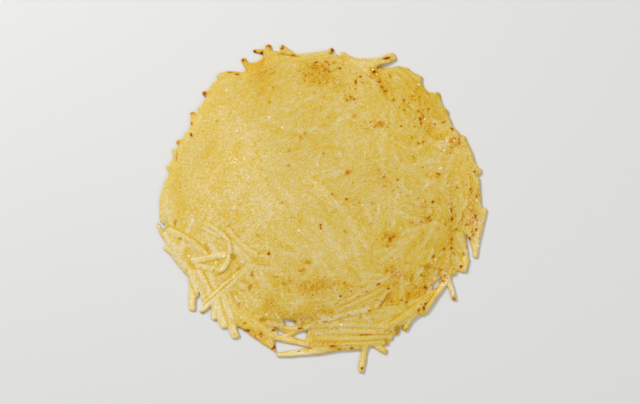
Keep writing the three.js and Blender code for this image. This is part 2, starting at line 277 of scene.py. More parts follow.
SPECKS = made_from(Patch, (
    (13, 103, 0.9, 0.7), (28.3, 96.7, 0.8, 0.6), (25, 92.6, 0.8, 2.2, 0.7), (42, 93, 1, 0.8, 0.8),
    (44.5, 89, 0.9, 0.7, 0.7), (46.3, 86, 1.1, 0.8, 0.8), (52.6, 79.4, 1, 0.8, 0.6),
    (60.3, 79.4, 0.9, 1.3, 0.6), (71, 71.3, 0.8, 0.7, 0.7), (78.6, 73, 0.8, 0.7, 0.7),
    (72.4, 65.4, 0.7, 1.2, 1, 10), (73, 62.2, 0.7, 0.7, 0.9), (58.4, 60.3, 0.8, 0.6, 0.8),
    (68, 60, 1.4, 0.5, 0.6, -20), (35.6, 63.2, 0.8, 0.6, 0.7), (44, 60.5, 0.9, 0.7, 0.6),
    (83.4, 61.7, 0.7, 0.8, 0.7), (89.7, 63.2, 2.2, 0.6, 0.6, 30), (96, 58.4, 1.4, 0.6, 0.9, -35),
    (38.5, 100.5, 1.6, 1, 1, 30), (41.5, 103.4, 2.2, 0.8, 0.8), (48, 110.8, 2.6, 0.8, 0.95, 10),
    (1, 40, 0.7, 1.2, 0.5, 20), (19, 26, 2.4, 1.6, 0.5, 30), (18, 6.6, 1.1, 0.8, 0.7, -40),
    (7.4, 10.3, 1.4, 1, 0.45), (-24, 42, 1, 0.8, 0.4), (-24.6, 31, 1.6, 1.2, 0.35), (-29.4, 3.7, 1.2, 1, 0.4),
    (-22.4, -7, 1, 0.8, 0.4), (-1, -12.5, 0.7, 0.6, 0.9), (-1, -14.6, 0.7, 0.6, 0.9),
    (45.6, 22.8, 1, 0.8, 0.6), (22.8, 18.4, 0.8, 0.6, 0.4), (-77, 64, 0.9, 0.8, 0.5),
    (-88, 56.6, 0.7, 0.6, 0.45), (-68.2, 100.2, 1.8, 0.5, 0.6), (-62.6, 98.8, 2, 0.5, 0.8, -8),
    (99, -15.7, 0.8, 0.8, 0.8), (107, -12.3, 1.6, 0.7, 0.7), (113.3, -6.3, 1, 2.4, 0.7, 10),
    (109, -23, 1, 1.1), (114, -16, 0.8, 0.7, 0.9), (81.5, 4.5, 1.5, 0.9, 0.8, 45), (50, -23, 1.2, 2, 0.7),
    (52.6, -21, 1.4, 1.2, 0.6), (48, -28, 1.8, 0.7, 0.5), (51.5, -43, 0.7, 1, 0.5),
    (82, -35.6, 1.8, 0.7, 0.7, 50), (90, -30, 1, 0.9, 0.7), (95.6, -23, 0.8, 1, 0.8),
    (95.4, -29.5, 0.8, 1.1, 0.8), (95.8, -8, 0.9, 1.6, 0.9), (86.9, -45.9, 1.4, 0.6, 0.6, 20),
    (73, -49.5, 0.7, 0.6, 0.95), (90.6, -50, 0.8, 0.9, 0.6), (48.8, -59.4, 0.7, 0.8),
    (41.5, -56, 1.4, 0.8, 0.75, 30), (76.3, -58.8, 1.5, 0.9, 1, -45), (89.5, -54, 1.4, 0.6, 0.7, 10),
    (76.3, -70.8, 0.8, 0.9), (75.3, -74, 0.8, 1.4, 1, 10), (71.5, -75.5, 0.7, 1.6, 0.7, -10),
    (102.8, -43.3, 0.9, 0.9), (13.5, -64.8, 0.8, 0.7, 0.9), (34.9, -75.5, 0.8, 0.8, 0.7),
    (51, -69, 1, 0.6, 0.6), (58.7, -68, 0.9, 0.7, 0.7), (62.3, -69.5, 0.9, 0.7, 0.85),
    (7.4, -76.6, 1.2, 0.9, 0.5), (-20, -84, 1, 0.9, 0.7), (-16, -89, 1.8, 0.6, 0.8, 10),
    (7.9, -102, 2.6, 1, 0.6), (22, -103.6, 1.2, 0.6, 0.9), (31, -93.6, 6.5, 0.35, 0.6, 2),
    (-36, -90.4, 0.9, 0.7), (-33.5, -88.5, 2, 0.5, 0.6, -15), (-45, -93.5, 1.6, 2.2, 0.55, 20),
    (-57, -85, 1, 0.8, 0.6), (-61.4, -88.9, 1.4, 0.8, 0.9, -30), (-54.7, -90.4, 1.6, 0.7, 0.9),
    (-39, -33.5, 1, 0.9, 0.95, 30), (-107, 48, 1.2, 0.7, 0.5), (47.5, -46, 0.7, 1.4, 0.5, 20),
    (99.5, 15, 0.8, 0.8, 0.5), (112.8, 26.8, 0.7, 0.7, 0.9), (-97, 62.5, 1.6, 0.8, 0.8, -30),
    (-96.5, 54, 0.8, 1.4, 1, 30), (-87.5, 84.5, 1.2, 0.8, 0.9, 20), (55.5, 20.8, 1, 0.8, 0.6),
    (23.8, 67.5, 1.6, 1.8, 0.35), (66, 52, 0.8, 0.8, 0.5), (-29, 114, 3.4, 0.5, 0.6, -4),
    (-21.5, 112.8, 1.6, 0.5, 0.8, -15), (-4.5, 107.3, 1.8, 0.6, 0.8, 20), (4.2, 107.3, 0.9, 0.6, 0.6, 40),
    (2.5, 102.5, 1.2, 0.5, 0.7, -30), (18, 79.5, 0.6, 0.6, 0.7), (21.1, 81.7, 0.9, 0.4, 0.8, -40),
    (23.7, 80, 0.6, 0.9, 0.8), (24.6, 87.7, 0.5, 0.8, 0.6), (43.6, 89.9, 0.5, 0.9, 0.7, 30),
    (38.4, 59.1, 0.6, 0.6, 0.7), (41.9, 63, 1.2, 0.4, 0.6, 30), (66.6, 82.5, 0.9, 0.5, 0.6),
    (68.8, 79.5, 0.6, 0.6, 0.6), (74.4, 72.1, 0.6, 0.6, 0.7), (71, 47.4, 0.8, 0.5, 0.75, 30),
    (74.4, 48.5, 0.6, 0.9, 0.85, -20), (85.7, 24.8, 2, 0.7, 0.7, -25), (84.4, 22.8, 0.5, 0.8, 0.6),
    (95.3, 49.5, 0.4, 1.6, 0.6), (97.5, 51.4, 1.6, 0.4, 0.6), (101.5, 47.8, 0.5, 0.8, 0.7),
    (94.4, 40.5, 0.5, 0.6, 0.6), (102.6, 33.1, 0.6, 0.6, 0.6), (109.8, 13.8, 1.2, 0.5, 0.7, 40),
    (110.4, 11.2, 0.5, 1.2, 0.6), (114.3, 8.4, 0.6, 0.9, 0.9), (95.4, -1.5, 0.6, 2, 0.75),
    (78, -7.4, 1.6, 0.5, 0.8, 40), (79.6, -9.2, 0.9, 0.5, 0.8, 20), (90.8, -12, 0.5, 1, 0.7, 30),
    (111.5, -19.8, 0.8, 1.8, 0.5, -30), (66.5, -10.6, 0.8, 0.5, 0.6), (75.7, -50.4, 0.7, 0.6, 0.7),
    (52.8, -56.7, 0.9, 0.5, 0.6, 30), (64.4, -63.4, 0.6, 0.8, 0.6), (16.5, -55, 1, 0.7, 0.5),
    (29.5, -118.6, 0.8, 0.8), (97.8, -66.9, 0.9, 0.7, 0.8), (-5.9, 105.2, 0.9, 0.6, 0.75),
    (2.8, 108.2, 1.4, 0.4, 0.7, -20), (5, 105.6, 0.5, 0.9, 0.7), (1.2, 100.6, 0.8, 0.5, 0.75, 30),
    (-1.7, 99.6, 0.6, 0.8, 0.7), (5.2, 100.8, 0.9, 0.6, 0.7), (-12.2, 97.6, 0.8, 0.9, 0.7),
    (-9.6, 98.8, 1, 0.5, 0.65, 20), (-7, 98.2, 0.6, 0.7, 0.7), (-6.2, 92.4, 0.7, 0.6, 0.6),
    (-1.5, 91.7, 0.6, 0.6, 0.7), (8.8, 107, 0.9, 0.6, 0.6), (3.6, 93.7, 0.7, 0.6, 0.6),
    (-12.6, 93.6, 0.6, 0.8, 0.6), (-29.6, 118.2, 0.7, 0.8), (-38.2, 78.1, 0.7, 0.8, 0.5),
    (-36, 88.8, 0.5, 2, 0.45, 20), (0.4, 104.6, 0.6, 0.7, 0.7), (33, 36, 0.8, 0.8, 0.35),
    (-15.4, 51.5, 2, 1.2, 0.4, -50), (-12.4, 55, 1.4, 1.6, 0.35),
))
# Dents whose colour is painted shade; where a strength is over 1 the middle is painted shadow, as in the
# notches at the rim.
PITS_AND_PAINTED_SHADOWS = made_from(Patch, (
    (-65.6, -36, 2.4, 3.2, 1, 20), (-61, -45, 2, 1.2, 0.7, 30), (-67, -51, 1.5, 1.2, 0.7),
    (-51, -49, 1.4, 2.6, 0.9), (-53, -58.5, 2, 3, 1, -20), (-47.5, -20, 1.7, 1.2, 0.9, -30),
    (-105, -23, 1.3, 1.5, 0.9), (-108, -11, 1.1, 2.4, 0.9, -10), (-84, -2, 1, 1, 0.4),
    (-34, -51, 3.4, 1, 0.8), (-28, -56, 2.4, 1.8, 0.9, -35), (-24, -53, 0.9, 3.2, 0.7),
    (-43.4, -82.4, 3.2, 2.2, 1.1), (-15, -46, 2.6, 1.8, 0.9, 20), (-10, -40, 2.4, 1.8, 0.9, -20),
    (-12, -57, 1.3, 2.6, 0.8, 20), (44.6, -70, 5.6, 0.9, 1.2, 56), (48.8, -65.2, 4, 1.8, 1.2, 56),
    (28, -79.4, 1.2, 2.4, 0.7, -15), (77.6, -43.4, 2.6, 3.4, 1, -30), (65.8, -51.6, 1.4, 3.6, 0.9, -25),
    (69, -58, 2.6, 1.4, 0.7, 40), (63.3, -65, 1.7, 3.2), (-61.2, -70.9, 1, 2.2, 0.8, -10),
    (-107.2, 37.6, 0.6, 3.6, 1.2), (75, -22.5, 0.8, 2, 0.6), (102.5, -8, 8.5, 1, 0.8, 66),
    (16.7, -17, 1.1, 1.7, 0.8, 20), (22, -37, 1.4, 2, 0.4), (41, -56.4, 1.6, 1.2, 0.6),
    (-58, -42, 2.6, 1.2, 0.5, 35), (50.2, 97.8, 2.6, 1, 1, -60), (-21, -52, 1.4, 0.9, 0.5),
    (-46.9, 85, 5, 3, 0.25), (-86, -28, 6, 1, 0.5, -40), (104.6, -34.5, 1.6, 1.6, 0.8),
    (55.6, -90.6, 1.8, 3.6, 1.5), (-87.4, -77.4, 3.4, 1.3, 1.4, 20), (-57.6, -91.6, 2.6, 2, 1.4, -45),
    (47.2, -98.6, 1.4, 2.2, 1.4), (66.4, -87.4, 1, 5, 1.3, -33), (12.6, -104.2, 1.8, 1.4, 1.2),
    (-22.6, 112.6, 8, 0.7, 1.2, -4), (-66, 101, 6, 0.7, 1, -4), (-43.6, 108, 0.8, 5, 0.8, -30),
))


@dataclass(frozen=True)
class Shred:
    """One shred of potato, as it runs over the cake seen from above.

    Its tone goes from 0, golden, to 1, cream. Its line is the side with the dark crease, a real groove
    whose colour is painted shade, 1 on the left of its run and -1 on the right, and its lift is how far it
    stands out of the cake's top.
    """

    path: tuple[Point, ...]
    width: float
    tone: float = 0.5
    line: float = 0.0
    lift: float = 0.3
    burnt: float = 0.0

    @classmethod
    def bowed(cls, start: Point, end: Point, bow: float, width: float, **more: float) -> "Shred":
        """Makes a shred from its two ends and how far its middle bows to the left of its run."""
        way = np.subtract(end, start)
        side = np.array((-way[1], way[0])) / max(np.hypot(*way), TINY)
        middle = np.add(start, end) / 2 + side * bow
        return cls((start, (float(middle[0]), float(middle[1])), end), width, **more)

    def run(self, steps: int = 14) -> Values:
        """Gives evenly spread points of the smooth curve through the path, short of its cut ends.

        Args:
            steps: How many stretches the curve is cut into.

        Returns:
            An array of steps + 1 points.
        """
        knots = np.array(self.path, float)
        knots = np.vstack((2 * knots[0] - knots[1], knots, 2 * knots[-1] - knots[-2]))
        spans = len(knots) - 3
        place = np.linspace(0, spans, SPAN_STEPS * spans + 1)
        low = np.minimum(place.astype(int), spans - 1)
        fine = curved([knots[low + k] for k in range(4)], (place - low)[:, None])
        gone = np.concatenate(([0], np.cumsum(np.hypot(*np.diff(fine, axis=0).T))))
        trim = min(CUT_END * self.width, gone[-1] / 3)
        even = np.linspace(trim, gone[-1] - trim, steps + 1)
        return np.column_stack([np.interp(even, gone, fine[:, k]) for k in (0, 1)])


def near(run: Values, x: Values, y: Values, margin: float) -> Values:
    """Gives the indices of the places in a run's bounding box, widened by a margin."""
    low, high = run.min(0) - margin, run.max(0) + margin
    return np.nonzero((x > low[0]) & (x < high[0]) & (y > low[1]) & (y < high[1]))[0]


def offsets(run: Values, x: Values, y: Values) -> tuple[Values, Values, Values]:
    """Measures places against a run, with its two ends cut nearly square.

    Args:
        run: The run's points.
        x: The places along X.
        y: The places along Y.

    Returns:
        The distance from the run, the distance along it, and the side: 1 left, -1 right.
    """
    best = np.full(len(x), math.inf)
    gone_best, side_best = np.zeros(len(x)), np.ones(len(x))
    gone = 0.0
    for a, b in zip(run[:-1], run[1:]):
        length = float(np.hypot(*(b - a)))
        way = (b - a) / length
        ahead = (x - a[0]) * way[0] + (y - a[1]) * way[1]
        lateral = way[0] * (y - a[1]) - way[1] * (x - a[0])
        beyond = ahead - np.clip(ahead, 0, length)
        dist = (beyond**4 + lateral**4) ** 0.25
        closer = dist < best
        best = np.where(closer, dist, best)
        gone_best = np.where(closer, gone + ahead - beyond, gone_best)
        side_best = np.where(closer, np.sign(lateral), side_best)
        gone += length
    return best, gone_best, side_best


def rim_shred(
    tip: Point, root: Point, bow: float, width: float, burnt: float = 0.0, tone: float = 0.5
) -> Shred:
    """Makes a shred that sticks out at the rim; its tip is where it is burnt."""
    return Shred.bowed(tip, root, bow, width, burnt=burnt, tone=tone)


RIM_SHREDS = made_from(rim_shred, (
    ((-50.6, 115.8), (-32, 112), 1.6, 2.8, 0.9), ((-39.6, 120.8), (-41.5, 104), 1, 3.6, 0.9),
    ((-44, 112), (-55, 98), 0, 4.6), ((-42, 114.5), (-22, 112.6), 0, 4),
    ((-30.5, 119.6), (-16, 108), 0.5, 3.8, 0.8), ((-58.6, 110.4), (-52, 96), 0.8, 3.6, 0.9),
    ((-54, 106.5), (-48, 96), 0, 5), ((-46.2, 115.2), (-36, 106), 0.4, 3.6, 0.9),
    ((-77, 96.5), (-60, 97.5), 1.5, 4.8), ((-80.5, 90), (-58, 95), 0.5, 5.2),
    ((-88.2, 84.6), (-78, 86), 0.3, 3, 0.9), ((-96, 71), (-95.6, 54), 1, 3.8, 0.6),
    ((-107.6, 49), (-92, 44), 0.6, 3.2, 0.6), ((-109, 43.5), (-108, 29), 1.2, 4.4, 0, 0.7),
    ((-114, 29), (-100, 33), 0.5, 4, 0, 0.7), ((-113.5, 20), (-113.5, -9), -3.6, 5, 0, 0.7),
    ((-117.9, -10), (-116.6, 4), 0.8, 3.6, 0, 0.7), ((-120.7, -11.2), (-108, -30), -2, 4.4, 0, 0.9),
    ((-115.8, -28.4), (-98, -48), 0.6, 5.4, 0, 0.9), ((-96.3, -75.8), (-94.8, -46), 0.3, 4.8, 0, 0.9),
    ((-64, -96), (-72, -66), 1, 6, 0.2, 0.9), ((-34.3, -104.4), (-62, -83), 0.5, 4.4, 0.9),
    ((-33, -109.2), (14, -103), -1.4, 2.9, 0, 0.8), ((30, -102.6), (-4, -104.4), 0.2, 3.8, 0.3),
    ((-36, -95.2), (2, -104.5), -0.4, 3.6, 0, 0.7), ((-36, -98.6), (-58, -84), 0.5, 4.4),
    ((-48, -84), (-2, -91), -1, 4.2, 0, 0.6), ((-9, -102), (-8.6, -84), 0, 4.6, 0.5),
    ((54, -91.5), (8, -93), 0, 4.6), ((52, -95.5), (4, -97), 0.6, 4), ((49, -99.5), (-2, -100), 0.6, 4),
    ((58, -85.2), (30, -92), 0.5, 4), ((56.6, -91.5), (42, -88), 0.3, 5),
    ((28.8, -121.7), (33.4, -96), 0, 4.3, 0, 0.7), ((47.6, -107), (34, -97.5), 0.2, 4.2, 0.4, 0.7),
    ((61.2, -91), (78, -64), 0.7, 3.6, 0.5, 0.7), ((73.5, -78.6), (90, -50), 0.4, 4.4),
    ((98.3, -68.2), (92.2, -51), -0.8, 3.7, 0.4, 0.9), ((104.8, -46.4), (101.8, -18), -3.6, 4.4, 0, 0.75),
    ((93, -56), (96, -34), 0.5, 4.4), ((104, -46), (94, -28), -0.6, 3.4, 0.4, 0.8),
    ((107, -30), (99, -4), -2, 4.6), ((112.8, -36.2), (120, -0.8), 0.2, 4.6, 0, 0.7),
    ((116.2, -3), (114.3, 22), 0.6, 4.6), ((117.6, 26.6), (100, 37), 1, 4.2),
    ((104, 52.5), (113.5, 28), 0.6, 4.2), ((92.6, 70), (80, 84), 0.5, 4, 0.3),
    ((85.2, 85.2), (90, 66), 0, 3.8, 0.5), ((73, 95.2), (52, 102.4), -0.8, 4.4, 0, 0.85),
    ((64, 101), (44, 101), -0.5, 4.6), ((54.2, 112.4), (28, 106.6), 1.8, 6, 0, 0.7),
    ((14.6, 114.4), (30, 104), 0.3, 3.6, 0, 0.8), ((8.4, 117.6), (-2, 112), 0.3, 2.2, 0.9),
    ((4.6, 114), (-4.8, 112.2), 0.2, 5.4, 0, 0.7),
))

LOOSE_SHREDS = made_from(Shred, (
    (((-89, -14.5), (-81, -18.4), (-73.5, -21.2)), 2.6, 0.9, -0.4, 0.6),
    (((-69.5, -14.5), (-64.5, -21.5), (-56.5, -29), (-47.5, -34.5)), 3.8, 0.85, 1, 0.5),
    (((-67, -25.5), (-61, -32), (-52, -40)), 4.6, 0.8, 0.5, 0.5),
    (((-114, -15.5), (-103.5, -20.6), (-93.5, -27), (-84.6, -35.5)), 4.6, 0.8, 1, 0.7),
    (((-96.5, -39.8), (-86.7, -37.7), (-78, -35.6), (-70.5, -34.2)), 4.4, 0.95, -1, 1),
    (((-93.5, -42.5), (-80.5, -45.4)), 4, 0.85, -0.6, 0.7),
    (((-84.1, -12), (-78, -15.8), (-72, -20.4), (-68.4, -26), (-67.8, -33), (-69.5, -40.5), (-72.8, -45.2),
      (-77, -47)), 3.3, 1, 1, 2.2),
    (((-98.5, -46), (-95.5, -53), (-91.5, -62), (-88, -69)), 4.6, 0.9, -0.7, 0.6),
    (((-91, -46), (-86, -56), (-81.5, -66)), 4, 0.85, 0.8, 0.5),
    (((-84.5, -46.5), (-80, -56), (-76.5, -63)), 4, 0.85, -0.6, 0.4),
    (((-79.5, -70), (-80.4, -83)), 3.4, 0.95, 0.5, 0.4),
    (((-78, -66), (-76, -78), (-72.2, -88.5)), 5.4, 1, 0.8, 0.6),
    (((-70.5, -61), (-65.5, -72.5), (-57, -82.5), (-47, -89.5)), 4.6, 0.6, 1, 0.6),
    (((-73.5, -62), (-70, -74), (-66, -83)), 4.2, 0.9, -0.4, 0.7),
    (((-88.5, -71.5), (-77.5, -61.6), (-67, -52.4), (-57, -44.5)), 3, 0.9, 0.8, 0.7),
    (((-90, -76.8), (-80, -68.2), (-70, -59.8), (-61.5, -51.4), (-55, -44)), 3.8, 0.85, 0.6, 0.7),
    (((-50, -80), (-36, -86), (-18, -88.5)), 4.4, 0.6, -0.6, 0.5),
    (((-60, -74), (-48, -86), (-36, -96)), 4.6, 0.5, 0.4, 0.4),
    (((-13.5, -89), (4, -82.4), (21.9, -77.3), (36, -74.8)), 3.6, 0.95, -0.8, 0.6),
    (((39.6, -73.4), (50, -60.5)), 3.2, 0.95, -1, 0.7),
    (((51, -87), (66, -76), (79.5, -66.5)), 5, 0.6, 0.4, 0.4),
    (((76.2, -76.8), (84.6, -64.4), (92.5, -53)), 3.8, 0.8, 1, 0.7),
    (((93.7, -31.5), (92.6, -40), (90.2, -51.5)), 3.3, 1, 0.5, 0.7),
    (((101, -18.5), (107, -32.5), (104.4, -47)), 5, 0.75, 0.6, 0.6),
    (((107, 3), (103.5, -5.5), (99.2, -15)), 3.2, 1, 1, 0.7),
    (((57.5, 101.2), (73.4, 94.8)), 4.8, 0.9, -0.5, 0.5),
    (((51.4, 104), (58, 100.6), (66, 93.6), (69.6, 88.4)), 3.6, 0.8, 1, 0.5),
    (((103, -3), (107.5, 5), (112.8, 12.2)), 4, 0.7, -0.6, 0.5),
    (((-8, -87.4), (20, -86.2), (49, -87.6)), 3.4, 0.55, -0.45),
    (((2, -91.8), (26, -91.2), (50, -91.6)), 3.2, 0.6, -0.55, 0.4),
    (((-4, -96.4), (22, -96.6), (47, -95.4)), 3.4, 0.5, -0.5),
    (((-6, -100.6), (18, -100.8), (44, -99.6)), 3.2, 0.6, 0.8, 0.4),
    (((12, -75.6), (28, -68.4), (44, -60.4)), 3.2, 0.55, -0.5, 0.1),
    (((10, -71.6), (27, -64.4), (42, -56.4)), 3, 0.6, -0.5, 0.1),
    (((95.5, -30.5), (99.6, -36), (103.4, -43)), 3.2, 0.85, 1, 0.6),
))

STREAKS = made_from(Shred, (
    (((10.2, -77.5), (28, -69), (46, -59)), 4.2, 0.6, -0.5),
    (((15.2, -70), (34, -60), (53, -47)), 4.2, 0.5, 0.5),
    (((58, -19.4), (67, -15.5), (77, -12.6)), 3.2, 0.85, 0.5),
    (((38, -34), (58, -24.5), (80, -12)), 4, 0.6, -0.5), (((52, 103.5), (58, 92.5)), 3.4, 0.95, 0.6),
    (((53, 99.4), (54.6, 96)), 2.2, 1), (((60.4, 82.2), (69.4, 71.6)), 3, 0.95),
    (((93.5, 55), (90, 44), (84.8, 33.4)), 3, 0.95, -0.6), (((20.7, 90), (7.7, 75.4), (-5.4, 62.8)), 5, 0.9),
    (((22.5, 76), (24, 64)), 3, 0.85), (((48.4, 78.8), (54.6, 71.6)), 1.6, 1),
    (((-8, 20), (4, 9.5), (16.5, -2.6)), 4.2, 1), (((66.6, 31.6), (83, 34.4)), 3, 0.95),
    (((-19.5, 93.3), (-23.2, 77)), 4.6, 0.85), (((-62, 67), (-57, 58), (-53, 51)), 6, 0.95),
    (((-63, 51), (-48, 56)), 5, 0.75), (((74, -45), (68, -52), (61, -56)), 3, 0.95),
    (((20, -68), (38, -56), (58, -47)), 2.6, 0.9), (((0, -33), (-9, -47), (-22, -58)), 3.4, 0.9),
    (((-1, -9), (9, -22), (15, -38)), 4.6, 0.85), (((70, -19), (58, -28), (42, -40)), 3, 0.85),
    (((-20, -52), (4, -50), (18, -46)), 3.2, 0.85), (((96, 40), (92, 26), (88, 12)), 3.2, 0.9),
    (((-60, -30), (-52, -44), (-40, -62)), 3.6, 0.8), (((15, -2), (26, -18), (34, -30)), 4, 0.85),
    (((30, 103), (36, 96), (40, 86)), 4, 0.85), (((-12, -62), (-20, -72), (-24, -80)), 3, 0.85),
    (((84, -10), (76, -24), (66, -34)), 3.4, 0.8),
))


class Frying:
    """What the pan did: how gold, pale, oily and browned the potato is at any place, and its painted light.

    The plain values are what the potato has away from every patch. A right value is how much more it
    has to the right, and how far from the middle that is reached. A speck is drawn wider than its row
    says by the spread, and never narrower than the least.
    """

    plain_gold = 0.42
    plain_bold = 0.2
    plain_oil_and_painted_light = 0.22
    plain_speckle = 0.03
    right_gold = (0.01, 100)
    right_speckle = (0.04, 110)
    blotchy = 0.04
    spotty = 0.05
    toast_power = 1.6
    spread = 0.15
    least = 0.65
    darkness = 1.6

    def __init__(self) -> None:
        """Draws the blotches that no named patch gives."""
        draw = np.random.default_rng(SEED + 7)
        self.blotch = Grain(draw, 14.0)
        self.spots = Grain(draw, 5.0)

    @staticmethod
    def total(patches: tuple[Patch, ...], x: Values, y: Values, power: float = 2.0) -> Values:
        """Adds up how much some patches cover each place."""
        out = np.zeros_like(x)
        for patch in patches:
            out += patch.cover(x, y, power)
        return out

    def gold(self, x: Values, y: Values) -> Values:
        """Gives how golden the potato is: 0 cream, 1 ochre."""
        more, reach = self.right_gold
        slope = self.plain_gold + more * np.clip(x / reach, -1, 1) + self.blotchy * self.blotch.at(x, y)
        return np.clip(slope + self.total(GOLDEN, x, y) - self.total(PALE, x, y), 0, 1)

    def boldness(self, x: Values, y: Values) -> Values:
        """Gives how clearly single shreds stand out: 0 fused smooth, 1 all separate."""
        return np.clip(self.plain_bold + self.total(BOLD, x, y), 0, 1)

    def oil_and_painted_light(self, x: Values, y: Values) -> Values:
        """Gives how much oil glints on the potato, which also sets the painted light on its colour and its
        painted glints.
        """
        return np.clip(self.plain_oil_and_painted_light + self.total(OILY_AND_PAINTED_LIGHT, x, y), 0, 1)

    def speckle(self, x: Values, y: Values) -> Values:
        """Gives how densely small brown specks cover the potato."""
        field = self.plain_speckle + self.total(SPECKLED, x, y) + self.spotty * self.spots.at(x, y)
        more, reach = self.right_speckle
        return np.clip(field + more * np.clip(x / reach, 0, 1), 0, 1)

    def toast(self, x: Values, y: Values) -> Values:
        """Gives how orange the pan has toasted the potato."""
        return np.clip(self.total(TOASTED, x, y, self.toast_power), 0, 1)

    def char(self, x: Values, y: Values) -> Values:
        """Gives how dark the single named specks are: 0 none, 1 dark brown."""
        out = np.zeros_like(x)
        for speck in SPECKS:
            long, wide = (max(half + self.spread, self.least) for half in (speck.long, speck.wide))
            out = np.maximum(out, self.darkness * replace(speck, long=long, wide=wide).cover(x, y))
        return out


class Outline:
    """The cake's whole edge: the pressed round, the shreds that stick out of it, and the gaps."""

    blend = 1.0
    coarse = 0.5
    fine = 0.3
    shred_rough = 0.6
    gap_rough = 0.3
    probe = 0.4

    def __init__(self, cake: Cake, shreds: Sequence[Shred]) -> None:
        """Keeps the round and the shreds, and draws how ragged the edge is."""
        self.cake, self.shreds = cake, shreds
        draw = np.random.default_rng(SEED + 3)
        self.ragged = (Grain(draw, 6.0), Grain(draw, 1.9))

    def depth(self, x: Values, y: Values) -> Values:
        """Gives how far inside the edge places are; outside it is negative.

        Args:
            x: The places along X.
            y: The places along Y.

        Returns:
            The depth of each place.
        """
        across = y - self.cake.centre_y
        rough = self.coarse * self.ragged[0].at(x, y) + self.fine * self.ragged[1].at(x, y)
        out = self.cake.radius(np.arctan2(across, x)) - np.hypot(x, across) + rough
        for shred in self.shreds:
            run = shred.run()
            index = near(run, x, y, shred.width + 2)
            if len(index):
                off, _, _ = offsets(run, x[index], y[index])
                own = shred.width / 2 - off + self.shred_rough * rough[index]
                out[index] = (out[index] + own + np.hypot(out[index] - own, self.blend)) / 2
        for gap in self.cake.gaps:
            out = np.minimum(out, gap.clear(x, y) + self.gap_rough * rough)
        return out

    def inward(self, x: Values, y: Values) -> tuple[Values, Values]:
        """Gives the direction in which places get deeper, as unit vectors."""
        u = self.depth(x + self.probe, y) - self.depth(x - self.probe, y)
        v = self.depth(x, y + self.probe) - self.depth(x, y - self.probe)
        size = np.maximum(np.hypot(u, v), TINY)
        return u / size, v / size


@dataclass(frozen=True)
class Crease:
    """The crease beside a shred.

    Its place and width are in half widths of the shred. Its least is how much of it shows on the side
    away from the shred's line, and its last field is how strongly it is coloured as painted shade.
    """

    place: float
    width: float
    least: float
    seam: float


class Bed(Enum):
    """How a shred lies in the cake's face: melted into its neighbours, or whole beside them."""

    FUSED = Crease(1.12, 0.2, 0.3, 0.8)
    PROUD = Crease(1.2, 0.28, 0.1, 1.0)


